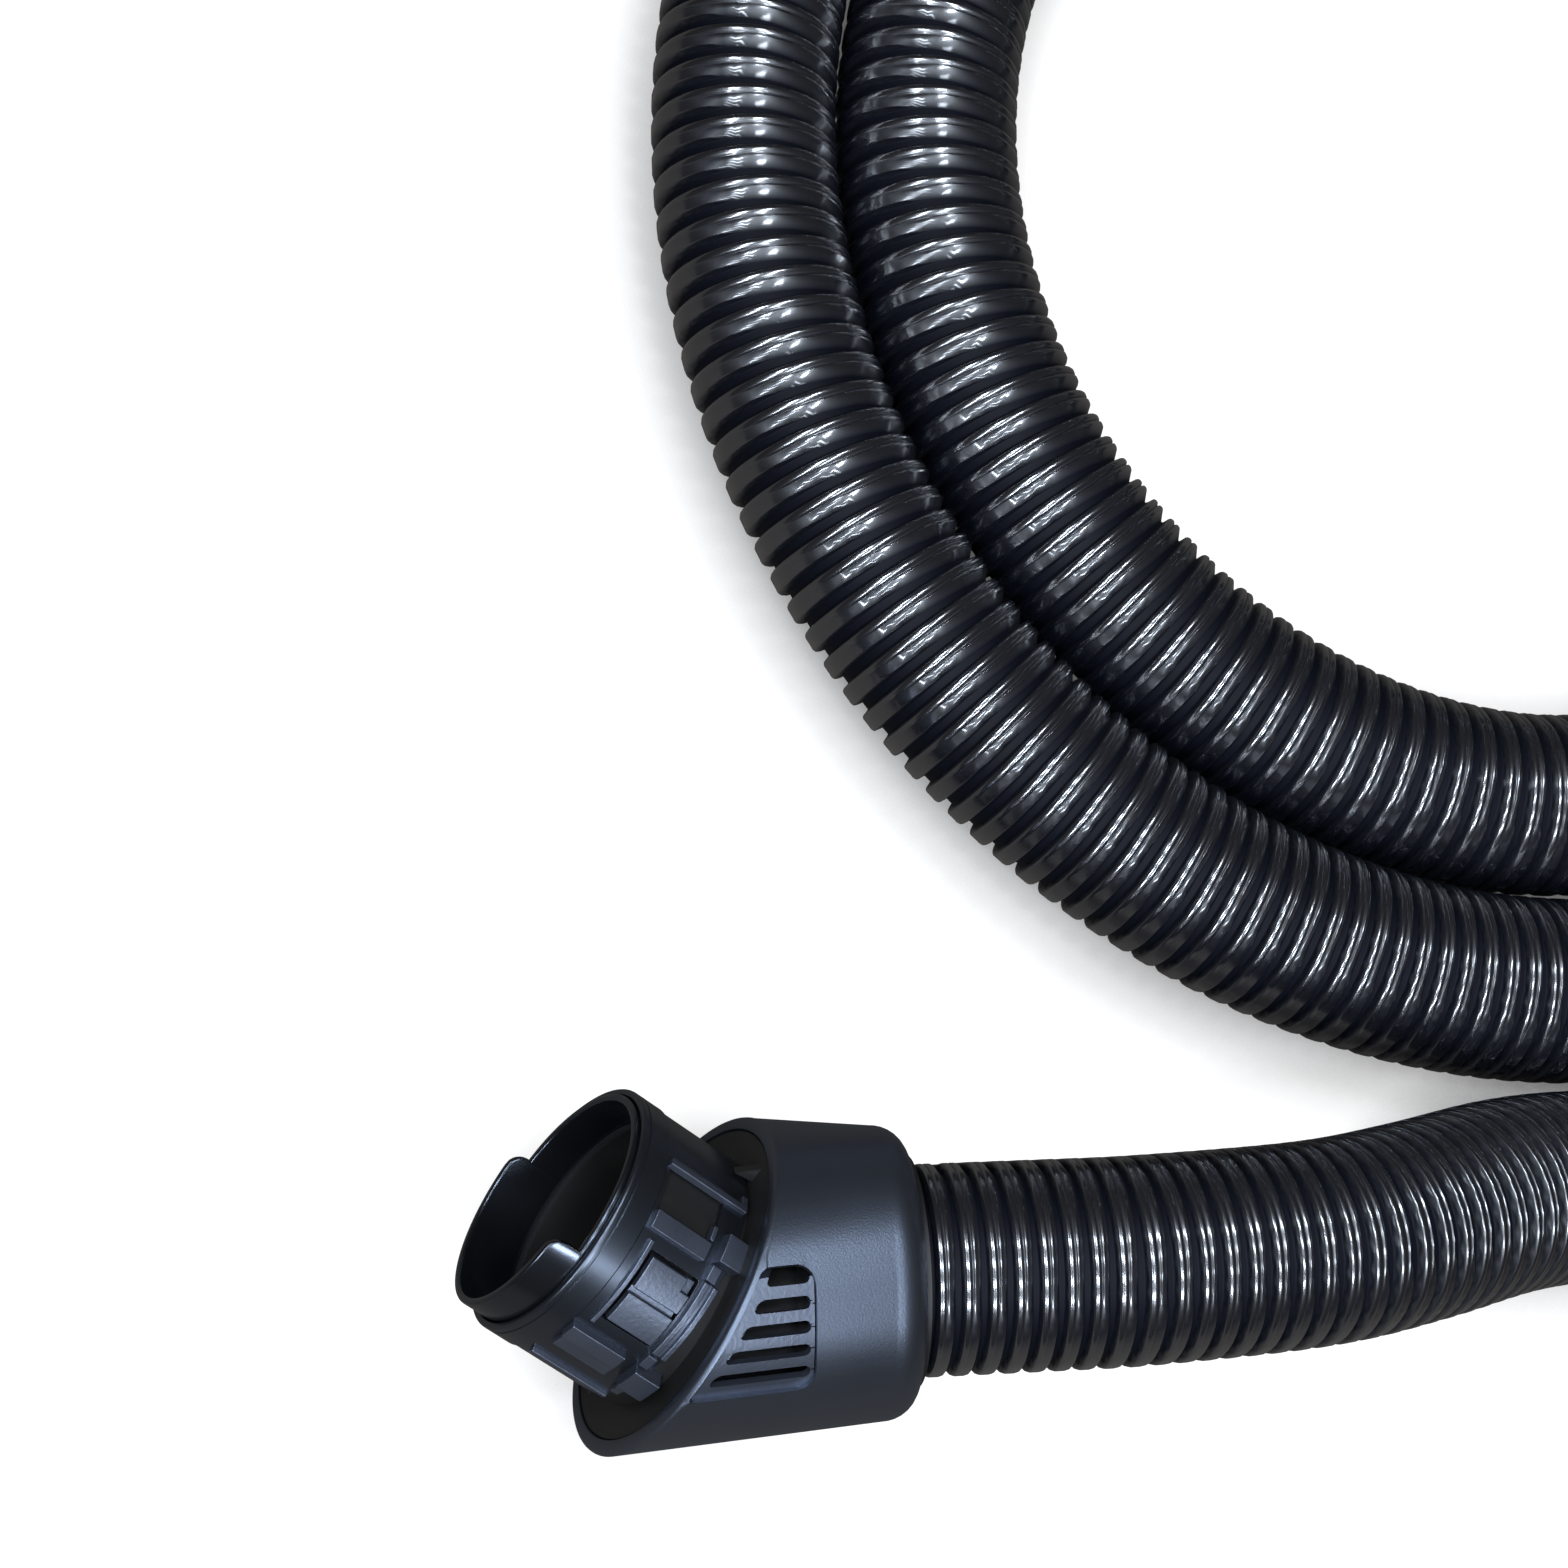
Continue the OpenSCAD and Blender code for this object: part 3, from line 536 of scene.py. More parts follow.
# (radius, height) of the bore, the round rim, the parting groove, the band and the low part
rim_turn = np.radians(np.linspace(0, 90, 5))
collar_rows = [(collar_bore, -2 * MM), (collar_bore, -0.35 * MM),
               (collar_bore + 0.1 * MM, -0.1 * MM)]
collar_rows += [(collar_r - collar_rim * (1 - np.sin(a)), -collar_rim * (1 - np.cos(a)))
                for a in rim_turn]
groove = [(0, 1.3), (0.22, 1.36), (0.22, 1.7), (0, 1.76)]
collar_rows += [(collar_r - d * MM, -z * MM) for d, z in groove]
collar_rows += [(collar_r, -z) for z in np.linspace(2.2 * MM, band_len - 0.1 * MM, 16)]
collar_rows += [(collar_low, -z) for z in np.linspace(band_len + 0.1 * MM, collar_len, 40)]
collar_turn = 2 * np.pi * np.arange(COLLAR_SIDES) / COLLAR_SIDES
grid = np.stack([shoulder_ring(collar_turn, r, z) for r, z in collar_rows])
collar_skin = pierced_wall(
    "collar_skin", stub, grid, surface_normals(grid), opening_field, collar_keep, collar_wall,
    collar_edge, out_row=30)

# %% Fittings of the collar: fin, hooks, rails, double bar and cubes
fitting_edge = 0.28 * MM
fittings = []
for half_turn in (0, 180):
    fittings += [
        # turn, y from, y to, z from, z to, r from, r to
        [half_turn, -9.5, 9.5, -9.8, -8.8, 25.6, 27.2],
        [half_turn + up * 28.0, -1.9, 1.9, -20.2, -7.2, 25.6, 27.9],
        [half_turn + up * 36.5, -1.5, 1.5, -20.6, -19.6, 25.4, 27.3],
        [half_turn - up * 29.5, -1.9, 1.9, -19.6, -7.0, 25.6, 27.9],
        [half_turn - up * 37.0, -2.0, 2.0, -20.0, -7.6, 25.6, 27.3],
        [half_turn + up * 55.0, -0.8, 0.8, -25.7, -7.0, 25.6, 27.3],
        [half_turn + up * 58.5, -1.6, 1.6, -25.8, -24.4, 25.4, 27.0],
        [half_turn - up * 57.0, -0.7, 0.7, -25.7, -7.5, 25.6, 27.2],
        [half_turn, -8.4, 8.4, -23.9, -22.7, 25.6, 27.3],
        [half_turn, -8.4, 8.4, -26.0, -24.8, 25.6, 27.4],
        [half_turn, -8.4, 8.4, -24.9, -23.8, 25.6, 26.7],
        [half_turn + up * 33.0, -3.0, 3.0, -28.6, -22.6, 25.4, 28.8],
        [half_turn - up * 33.0, -3.0, 3.0, -28.6, -22.6, 25.4, 28.8],
        [half_turn + up * 22.0, -1.6, 1.6, -24.6, -22.4, 25.6, 27.6],
        [half_turn - up * 22.0, -1.6, 1.6, -24.6, -22.4, 25.6, 27.6],
        [half_turn - up * 44.0, -2.2, 2.2, -26.0, -24.2, 25.4, 27.2],
    ]
collar_fittings = finish_edges(arc_blocks("collar_fittings", stub, fittings), fitting_edge)
print("collar:", len(fittings), "fittings")

# %% Latch plates: a thin base and two halves with a channel between, one notched at a corner
# in mm: outer side of the halves, half of the channel, and the notch's inner side and height
half_side, channel_half, notch_side, notch_high = 7.2, 0.6, 4.6, 2.2
plate_edge = 0.3 * MM
latch_plates = []
for name, half_turn in (("latch_plate_near", 0), ("latch_plate_far", 180)):
    low, high = sorted([up * channel_half, up * half_side])
    low_2, high_2 = sorted([up * -half_side, up * -channel_half])
    low_3, high_3 = sorted([up * channel_half, up * notch_side])
    halves = [
        # columns as above; the base leaves the plate room to be pressed in over the spigot
        [half_turn, -half_side, half_side, plate_low + 0.1, plate_top - 0.1, 25.95, 26.4],
        [half_turn, low, high, plate_low + notch_high, plate_top - 0.1, 26.1, 27.7],
        [half_turn, low_3, high_3, plate_low + 0.1, plate_top - 1.0, 26.1, 27.7],
        [half_turn, low_2, high_2, plate_low + 0.1, plate_top - 0.1, 26.1, 27.7],
    ]
    latch_plates.append(finish_edges(arc_blocks(name, stub, halves), plate_edge))

# %% [markdown]
# ## The inlet spigot
#
# The spigot is a pipe whose edge stands out on one half only. As a surface it is a closed profile
# carried round the axis, with its upper heights replaced by the edge's height at each turn. Two
# columns at nearly the same turn make the step at each end of the lip, and its corner is a
# quarter circle: H - c + sqrt(c^2 - (c - s)^2) at a distance s from the step.

# %% Inlet spigot
spigot_r, spigot_wall, spigot_back = 24.8 * MM, 1.6 * MM, -14 * MM
lip_high, lip_low, lip_corner, lip_base = 7 * MM, 4.5 * MM, 3.2 * MM, 0.9 * MM
spigot_round = 0.6 * MM


def lip_height(a):
    """Height of the edge at a turn a, in degrees from the lip's near end; the lip is 0 to -180."""
    full = lip_low + (lip_high - lip_low) * (1 + np.cos(np.radians(a))) / 2
    s = np.radians(np.minimum(-a, a + 180)) * spigot_r
    c = np.minimum(lip_corner, full - lip_base)
    inside = np.clip(s, 0, c)
    rounded = full - c + np.sqrt(np.maximum(c * c - (c - inside) ** 2, 0))
    return np.where(s > 0, rounded, lip_base)


near_end = np.concatenate([-np.geomspace(0.01, 8, 16)[::-1], [0.05]])
lip_turns = np.concatenate([[-180.05], -180 + np.geomspace(0.01, 8, 16), np.linspace(-170, -10, 81),
                            near_end, np.linspace(3, 177, 59)])
edge = lip_height(lip_turns)
around = np.radians(lip_turns)
tube = soft_corners([[spigot_r, spigot_back], [spigot_r, 0], [spigot_r - spigot_wall, 0],
                     [spigot_r - spigot_wall, spigot_back]], spigot_round)
r, z = tube[:, :1] + 0 * edge, tube[:, 1:]
z = np.where(z > spigot_back / 2, z + edge[None, :], z + 0 * edge)
local = np.stack([r * np.cos(around * up), r * np.sin(around * up), z], -1)
spigot_faces = outward(local, torus_faces(*local.shape[:2]))
spigot_tube = mesh_piece("spigot_tube", place_in(stub, local), spigot_faces, smooth=40)

# %% [markdown]
# ## The hose's route
#
# The hose leaves the cuff straight, drops to the floor, and lies there in a flat spiral whose radius falls by one
# hose and a small gap each turn. Its last half turn rolls up on top of the turn outside it, and it ends there in
# the wand's cuff. The spiral's points come from a loop of angles, and the lead's from a short given list, joined
# by a Catmull-Rom curve: each point is a cubic mix of four neighbouring marks.

# %% Route of the hose
hose_d = 42 * MM
turn_gap = 1 * MM
coil_r = 194.5 * MM
coil_mid = np.array([220, 239]) * MM
coil_from, coil_to, climb_to = -82, 620, 800
coil_step = hose_d + turn_gap
climb_room = 5 * MM
tail_straight = 69 * MM
insert_out = 1 * MM
lead_route = [[128, 0, 46.5], [155, 4, 41], [181, 9, 32.5], [202, 11, 26.5], [223, 11, 22.5]]
END_STEPS, LEAD_STEPS = 6, 8
MARK_TURN = 6


def coil_radius(t):
    """coil_r less one step for each turn after 180 degrees."""
    return coil_r - coil_step * (t - 180) / 360


def polar(r, t, z):
    """Point at radius r and angle t in degrees about the coil's middle, at height z."""
    a = np.radians(t)
    return np.stack([coil_mid[0] + r * np.cos(a), coil_mid[1] + r * np.sin(a), z + 0 * a], -1)


def flat_coil(t):
    """Point of the flat spiral at angle t, resting on the floor."""
    return polar(coil_radius(t), t, hose_d / 2)


def climb(t):
    """The hose rolls through w degrees round the turn outside it, at a distance d.

    w = 90 (3u^2 - 2u^3), u running from 0 to 1 over the climb; the radius falls short of that
    turn's by d cos w and the height grows by d sin w. At 18 degrees d has grown by climb_room.
    """
    u = (t - coil_to) / (climb_to - coil_to)
    w = 90 * u * u * (3 - 2 * u)
    d = coil_step + climb_room * np.sin(np.radians(np.minimum(90, 5 * w)))
    inward, upward = d * np.cos(np.radians(w)), d * np.sin(np.radians(w))
    return polar(coil_radius(t - 360) - inward, t, hose_d / 2 + upward)


def catmull_rom(marks, steps):
    """Curve through all marks but the first and last, steps points for each stretch.

    Between b and c, with neighbours a and d: p(u) = (2b + (c-a)u + (2a-5b+4c-d)u^2
    + (3b-a-3c+d)u^3) / 2.
    """
    a, b, c, d = (marks[k : len(marks) - 3 + k, None] for k in range(4))
    u = (np.arange(steps) / steps)[None, :, None]
    p = 2 * b + (c - a) * u + (2 * a - 5 * b + 4 * c - d) * u**2 + (3 * b - a - 3 * c + d) * u**3
    return p.reshape(-1, 3) / 2


hose_start = cuff_end + insert_out * hose_axis
hose_bent = hose_start + hose_d * hose_axis
lead_marks = np.concatenate(
    [[hose_start + 0.5 * hose_d * hose_axis, hose_bent], np.array(lead_route) * MM,
     flat_coil(np.array([coil_from, coil_from + MARK_TURN]))])
coil_angles = np.arange(coil_from, coil_to + 1)
climb_angles = np.arange(coil_to + 1, climb_to + 1)
tail_bend = climb(np.array([climb_to]))[0]
route = np.concatenate([
    hose_start + np.arange(END_STEPS)[:, None] / END_STEPS * hose_d * hose_axis,
    catmull_rom(lead_marks, LEAD_STEPS),
    flat_coil(coil_angles),
    climb(climb_angles),
    tail_bend + np.arange(1, END_STEPS + 1)[:, None] / END_STEPS * tail_straight * tail_axis])
run = np.concatenate([[0], np.cumsum(np.linalg.norm(np.diff(route, axis=0), axis=1))])
hose_len = float(run[-1])
print("hose length:", round(hose_len, 4), "m in", len(route), "points")

# %% [markdown]
# ## A smooth centreline with a frame that doesn't twist
#
# A tube needs, at each point of its line, two directions square to it. Here the first is always
# level, like the sleepers under a railway, and the second completes the set. The line itself is
# smoothed with a short moving average, which takes out the corners between straight steps
# without moving the curve.

# %% Centreline as arrays of length
FINE_STEP, HALF_WINDOW = 0.5 * MM, 16
fine_run = np.linspace(0, hose_len, int(hose_len / FINE_STEP) + 1)
fine = np.stack([np.interp(fine_run, run, route[:, k]) for k in range(3)], 1)
weights = np.hanning(2 * HALF_WINDOW + 1)
weights = weights / weights.sum()
before = 2 * fine[0] - fine[HALF_WINDOW:0:-1]
after = 2 * fine[-1] - fine[-2 : -HALF_WINDOW - 2 : -1]
padded = np.concatenate([before, fine, after])
fine = np.stack([np.convolve(padded[:, k], weights, "valid") for k in range(3)], 1)
fine_ahead = unit(np.gradient(fine, axis=0))


def hose_frame(s):
    """Point, level direction and upper direction of the hose at lengths s, as three arrays."""
    at = np.stack([np.interp(s, fine_run, fine[:, k]) for k in range(3)], -1)
    ahead = unit(np.stack([np.interp(s, fine_run, fine_ahead[:, k]) for k in range(3)], -1))
    level = unit(np.cross([0, 0, 1], ahead))
    return at, level, np.cross(ahead, level)


# %% [markdown]
# ## The ribs
#
# The hose is wound from a plastic ribbon with a bead on it, so its ribs are one long screw
# thread. Written as a surface, the radius depends only on a *phase*: the number of turns of
# thread passed, which grows by one for each pitch along the hose and falls by one round it. The
# grid's lines follow the thread, so each rib stays crisp with few points.
#
# The thread is stretched more in some places than in others, so its pitch follows a short table of lengths. One
# pitch is a bead with two rounded crests and then a flat valley. A third column says how much each place shines:
# the crests fully and the valleys hardly at all, so the valleys stay dark.

# %% Thread of the hose
pitch_marks = np.array([
    # length along the hose in m, pitch in mm
    [0.00, 5.15], [0.08, 4.9], [0.25, 5.2], [1.10, 7.0], [1.22, 7.1], [1.28, 6.65], [1.34, 5.95],
    [1.40, 5.35], [1.50, 5.2], [2.10, 7.0], [2.27, 7.05], [2.36, 6.45], [2.42, 6.2], [3.00, 5.4]])
rib_profile = np.array([
    # share of the pitch, depth below the crest in mm, shine
    [0.000, 2.20, 0.0], [0.300, 2.20, 0.0], [0.313, 1.20, 0.0], [0.328, 0.50, 0.3],
    [0.356, 0.20, 0.8], [0.404, 0.085, 1.0], [0.452, 0.02, 1.0], [0.500, 0.00, 1.0],
    [0.548, 0.02, 1.0], [0.596, 0.10, 0.8], [0.645, 0.50, 0.1], [0.694, 0.10, 0.8],
    [0.742, 0.02, 1.0], [0.790, 0.00, 1.0], [0.838, 0.02, 1.0], [0.886, 0.085, 1.0],
    [0.934, 0.20, 0.8], [0.962, 0.50, 0.3], [0.977, 1.20, 0.0], [0.990, 2.20, 0.0]])
SIDES = 46
CLOSE_PITCH, RIB_DEPTH = 5.2, 2.2

fine_pitch = np.interp(fine_run, *pitch_marks.T) * MM
fine_phase = np.concatenate([[0], np.cumsum(FINE_STEP / fine_pitch[:-1])])
print("ribs along the hose:", int(fine_phase[-1]))


def thread(phase, column):
    """A column of the profile at a phase: the table, repeated for each whole number."""
    table = np.concatenate([rib_profile, [[1, *rib_profile[0, 1:]]]])
    return np.interp(np.mod(phase, 1), table[:, 0], table[:, column])


def ribbed_hose(s_from, s_to):
    """Skin of the hose between two lengths, as a tube that is open at both ends.

    Row i stands for phase f and column j for angle a. The point sits where the phase is
    f - a / (2 pi): at length s(f - a / 2 pi), held between s_from and s_to, and at radius
    hose_d / 2 - depth. Where the pitch is wider the table's depths grow with its square, up to
    the rib's depth, so that the ridges keep their roundness.

    Known fault: the last column is joined to the first one a whole thread further on. The phase
    falls by one round the hose, so the row that fits lies a thread back. The narrow strip
    between these two columns is askew by two threads, and it leaves a slit at the tube's start.
    """
    ends = np.interp([s_from, s_to], fine_run, fine_phase)
    whole = np.arange(np.floor(ends[0]), np.ceil(ends[1]) + 1)
    f = (whole[:, None] + rib_profile[None, :, 0]).ravel()
    a = 2 * np.pi * np.arange(SIDES) / SIDES
    phase = np.clip(f[:, None] - a[None, :] / (2 * np.pi), *ends)
    at, level, upper = hose_frame(np.interp(phase, fine_phase, fine_run))
    stretch = np.interp(phase, fine_phase, fine_pitch) / (CLOSE_PITCH * MM)
    r = (hose_d / 2 - np.minimum(thread(phase, 1) * stretch ** 2, RIB_DEPTH) * MM)[..., None]
    points = at + r * (np.cos(a)[None, :, None] * level + np.sin(a)[None, :, None] * upper)
    rows, step = len(f), len(rib_profile)
    i = np.arange(rows - 1)[:, None]
    j = np.arange(SIDES)[None, :]
    turn = np.where(j + 1 == SIDES, step, 0)
    k = (j + 1) % SIDES
    low, high = np.minimum(i + turn, rows - 1), np.minimum(i + 1 + turn, rows - 1)
    quads = np.stack([i * SIDES + j, low * SIDES + k, high * SIDES + k, (i + 1) * SIDES + j], -1)
    return points, quads.reshape(-1, 4), thread(phase, 2)


# %% [markdown]
# The hose has more faces than one mesh should hold, so it is made in six equal lengths that share
# their end rings.

# %% Hose pieces
HOSE_PIECES = 6
cuts = np.linspace(0, hose_len, HOSE_PIECES + 1)
middle_pieces = [["hose_coil"]] * (HOSE_PIECES - 2)
stood_for = [["hose_lead", "hose_coil"], *middle_pieces, ["hose_coil", "hose_tail"]]
MERGE_STEP = 0.001 * MM


def merge_held(points, quads, crest):
    """Merges the points that were held at one place, and drops the faces that this flattens."""
    flat = np.round(points.reshape(-1, 3) / MERGE_STEP).astype(np.int64)
    _, first, new = np.unique(flat, axis=0, return_index=True, return_inverse=True)
    new = new.ravel()
    faces = new[quads]
    sides_left = (faces != np.roll(faces, 1, axis=1)).sum(1)
    squares = faces[sides_left == 4]
    triangles = [list(dict.fromkeys(f)) for f in faces[sides_left == 3].tolist()]
    return points.reshape(-1, 3)[first], squares.tolist() + triangles, crest.ravel()[first]


hose_pieces = []
for k, (a, b) in enumerate(zip(cuts, cuts[1:])):
    points, faces, crest = merge_held(*ribbed_hose(a, b))
    piece = mesh_piece(f"ribbed_hose_{k + 1}", points, faces)
    piece.data.attributes.new("crest", "FLOAT", "POINT").data.foreach_set("value", crest)
    hose_pieces.append(piece)
    print(piece.name, len(points), "points", len(faces), "faces")

# %% [markdown]
# ## Finishes
#
# The plastics here are near black, and what the eye reads is how they shine. Two effects are
# shared by all of them, a fine moulded grain and a slow cloudiness of the gloss as from handling.
# One shader *node group* holds both. It puts out a roughness and a normal, and each material
# gives it values of its own.

# %% Node helpers
def add_node(tree, kind, **values):
    """A node with its inputs or properties set by name; an input may be given a socket."""
    made = tree.nodes.new(kind)
    for key, value in values.items():
        if hasattr(made, key):
            setattr(made, key, value)
            continue
        socket = made.inputs[key.replace("_", " ")]
        if isinstance(value, bpy.types.NodeSocket):
            tree.links.new(value, socket)
        else:
            socket.default_value = value
    return made


def new_group(name, inputs, outputs):
    """An empty shader node group with float inputs (name, default) and typed outputs."""
    tree = bpy.data.node_groups.new(name, "ShaderNodeTree")
    for title, default in inputs:
        socket = tree.interface.new_socket(title, in_out="INPUT", socket_type="NodeSocketFloat")
        socket.default_value = default
        socket.min_value, socket.max_value = -1e4, 1e4
    for title, kind in outputs:
        tree.interface.new_socket(title, in_out="OUTPUT", socket_type="NodeSocket" + kind)
    return tree, tree.nodes.new("NodeGroupInput"), tree.nodes.new("NodeGroupOutput")


# %% Group: moulded surface
moulded, group_in, group_out = new_group(
    "moulded_surface",
    [("Grain Size", 0.0004), ("Grain Height", 0.2), ("Gloss", 0.4), ("Gloss Spread", 0.08)],
    [("Roughness", "Float"), ("Normal", "Vector")])
place = add_node(moulded, "ShaderNodeTexCoord")
per_metre = add_node(moulded, "ShaderNodeMath", operation="DIVIDE")
per_metre.inputs[0].default_value = 1
moulded.links.new(group_in.outputs["Grain Size"], per_metre.inputs[1])
grain = add_node(moulded, "ShaderNodeTexNoise", Vector=place.outputs["Object"], Detail=3.0)
moulded.links.new(per_metre.outputs[0], grain.inputs["Scale"])
cloud = add_node(
    moulded, "ShaderNodeTexNoise", Vector=place.outputs["Object"], Scale=45.0, Detail=3.0)
spread = add_node(moulded, "ShaderNodeMath", operation="MULTIPLY_ADD")
centred = add_node(moulded, "ShaderNodeMath", operation="SUBTRACT")
moulded.links.new(cloud.outputs["Fac"], centred.inputs[0])
centred.inputs[1].default_value = 0.5
moulded.links.new(centred.outputs[0], spread.inputs[0])
moulded.links.new(group_in.outputs["Gloss Spread"], spread.inputs[1])
moulded.links.new(group_in.outputs["Gloss"], spread.inputs[2])
moulded.links.new(spread.outputs[0], group_out.inputs["Roughness"])
relief = add_node(moulded, "ShaderNodeBump", Distance=0.00006)
moulded.links.new(grain.outputs["Fac"], relief.inputs["Height"])
moulded.links.new(group_in.outputs["Grain Height"], relief.inputs["Strength"])
moulded.links.new(relief.outputs["Normal"], group_out.inputs["Normal"])


def plastic(name, colour, gloss, spread=0.08, grain=0.2, size=0.0004):
    """A moulded plastic: base colour varied a little by slow noise, grain and cloudy gloss."""
    material = bpy.data.materials.new(name)
    material.use_nodes = True
    tree = material.node_tree
    shader = tree.nodes["Principled BSDF"]
    shader.inputs["IOR"].default_value = 1.5
    group = add_node(tree, "ShaderNodeGroup", node_tree=moulded)
    group.inputs["Grain Size"].default_value = size
    group.inputs["Grain Height"].default_value = grain
    group.inputs["Gloss"].default_value = gloss
    group.inputs["Gloss Spread"].default_value = spread
    place = add_node(tree, "ShaderNodeTexCoord")
    patches = add_node(
        tree, "ShaderNodeTexNoise", Vector=place.outputs["Object"], Scale=60.0, Detail=4.0)
    shade = add_node(tree, "ShaderNodeValToRGB")
    tree.links.new(patches.outputs["Fac"], shade.inputs["Fac"])
    low, high = ([c * k for c in colour] for k in (0.85, 1.15))
    shade.color_ramp.elements[0].position = 0.3
    shade.color_ramp.elements[0].color = (*low, 1)
    shade.color_ramp.elements[1].position = 0.7
    shade.color_ramp.elements[1].color = (*high, 1)
    tree.links.new(shade.outputs["Color"], shader.inputs["Base Color"])
    tree.links.new(group.outputs["Roughness"], shader.inputs["Roughness"])
    tree.links.new(group.outputs["Normal"], shader.inputs["Normal"])
    return material


satin = plastic("satin_plastic", (0.0095, 0.0090, 0.0092), gloss=0.385, grain=0.6)
black = plastic("black_plastic", (0.005, 0.0052, 0.006), gloss=0.21, grain=0.12)
half_satin = plastic("half_satin_plastic", (0.005, 0.0052, 0.006), gloss=0.30, grain=0.12)
glossy = plastic("gloss_plastic", (0.0022, 0.0030, 0.0066), gloss=0.24, grain=0.18, size=0.003)
# A lighter, bluer plastic: painted highlight for raised fittings, latch plates and grille bars that catch the
# lamps, with a cloudy gloss and coarse grain for scuffs.
worn_painted_light = plastic(
    "worn_painted_light_plastic", (0.022, 0.024, 0.031), gloss=0.38, spread=0.3, grain=0.8, size=0.0008)
dusky = plastic("dusky_plastic", (0.0115, 0.0105, 0.0095), gloss=0.5, grain=0.3)
# A darker, duller copy of the black plastic: painted shade for the air duct deep inside the sleeve.
duct_painted_shade = plastic("painted_shade_plastic", (0.003, 0.003, 0.0035), gloss=0.85, spread=0.05)
rubber = plastic("seal_rubber", (0.010, 0.010, 0.011), gloss=0.75, grain=0.6, size=0.0003)
steel = plastic("spring_steel", (0.48, 0.49, 0.51), gloss=0.32, spread=0.15, grain=0.15)
steel.node_tree.nodes["Principled BSDF"].inputs["Metallic"].default_value = 1.0
for material, ior, tint in (
    (satin, 1.95, (0.68, 0.79, 1.0, 1)), (black, 1.6, (0.74, 0.83, 1.0, 1)),
    (half_satin, 1.7, (0.72, 0.82, 1.0, 1)), (worn_painted_light, 1.9, (0.72, 0.81, 1.0, 1)),
):
    shader = material.node_tree.nodes["Principled BSDF"]
    shader.inputs["IOR"].default_value = ior
    shader.inputs["Specular Tint"].default_value = tint
    shader.inputs["Specular IOR Level"].default_value = 1.0

# %% The hose shines on its crests only
tree = glossy.node_tree
shader = tree.nodes["Principled BSDF"]
near_crest = add_node(tree, "ShaderNodeAttribute", attribute_name="crest")
dull = add_node(
    tree, "ShaderNodeMapRange", Value=near_crest.outputs["Fac"], To_Min=0.35, To_Max=0.0)
rough = add_node(tree, "ShaderNodeMath", operation="ADD")
tree.links.new(shader.inputs["Roughness"].links[0].from_socket, rough.inputs[0])
tree.links.new(dull.outputs["Result"], rough.inputs[1])
tree.links.new(rough.outputs[0], shader.inputs["Roughness"])
tree.links.new(near_crest.outputs["Fac"], shader.inputs["Coat Weight"])
tree.links.new(shader.inputs["Normal"].links[0].from_socket, shader.inputs["Coat Normal"])
shader.inputs["Coat Roughness"].default_value = 0.13
shader.inputs["Coat IOR"].default_value = 2.2
shader.inputs["IOR"].default_value = 1.8
shine = add_node(
    tree, "ShaderNodeMapRange", Value=near_crest.outputs["Fac"], To_Min=0.08, To_Max=1.0)
tree.links.new(shine.outputs["Result"], shader.inputs["Specular IOR Level"])

# %% Give every CAD node a finish, by the record's slots
slot_finish = {"satin_plastic": satin, "black_plastic": dusky, "hose_plastic": glossy,
               "seal_rubber": rubber, "spring_steel": steel}
for part in frame["record"]["subparts"]:
    mesh = nodes[part["node"]].data
    mesh.materials.clear()
    # The air duct, seen through the grille's slots, takes the plastic with painted shade.
    finish = duct_painted_shade if part["node"] == "air_duct" else slot_finish[part["material_slot"]]
    mesh.materials.append(finish)

# %% [markdown]
# ## Bodies and stand-ins
#
# The model moves as bodies, and each visible piece rides on one of them. A piece also says which CAD nodes it is
# drawn in place of. Those nodes are then hidden. A node without a finer piece of its own keeps its CAD mesh.

# %% The cuff's pieces ride on their bodies
def dress(piece, body, slot, finish, *stands_for):
    """Gives a piece its finish and its body, and hides the CAD nodes that it stands for; its slot is not used."""
    piece.data.materials.append(finish)
    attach(piece, body)
    if stands_for:
        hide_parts(*stands_for)


dress(sleeve_shell, "sleeve", "satin_plastic", satin, "cuff_sleeve")
# The grille, the collar's fittings and the latch plates take the plastic with painted highlight.
dress(grille, "sleeve", "black_plastic", worn_painted_light, "vent_grille")
dress(collar_skin, "elbow", "satin_plastic", half_satin, "latch_collar")
dress(collar_fittings, "elbow", "satin_plastic", worn_painted_light, "latch_collar")
dress(latch_plates[0], "button_near", "satin_plastic", worn_painted_light, "latch_button_near")
dress(latch_plates[1], "button_far", "satin_plastic", worn_painted_light, "latch_button_far")
dress(spigot_tube, "elbow", "black_plastic", black, "inlet_spigot")

# %% The hose rides on its body and stands for the CAD hose
for piece, parts in zip(hose_pieces, stood_for):
    piece.data.materials.append(glossy)
    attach(piece, "hose")
    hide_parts(*parts)


# %% [markdown]
# ## Floor and light
#
# The floor is pale and the camera sees it nearly white, but it still has to carry the soft shadow under the hose.
# A Light Path test gives camera rays a little glow of the floor's own, and an ambient occlusion test dims that
# glow close to the hose, which paints a contact shadow there; the rest of what they see is lamp light, which the
# hose can shade.
#
# A black glossy thing is drawn by what it mirrors. Small lamps hang in two columns of four,
# so each rib shows a short row of bright marks in place of one streak, and the world stays dim.

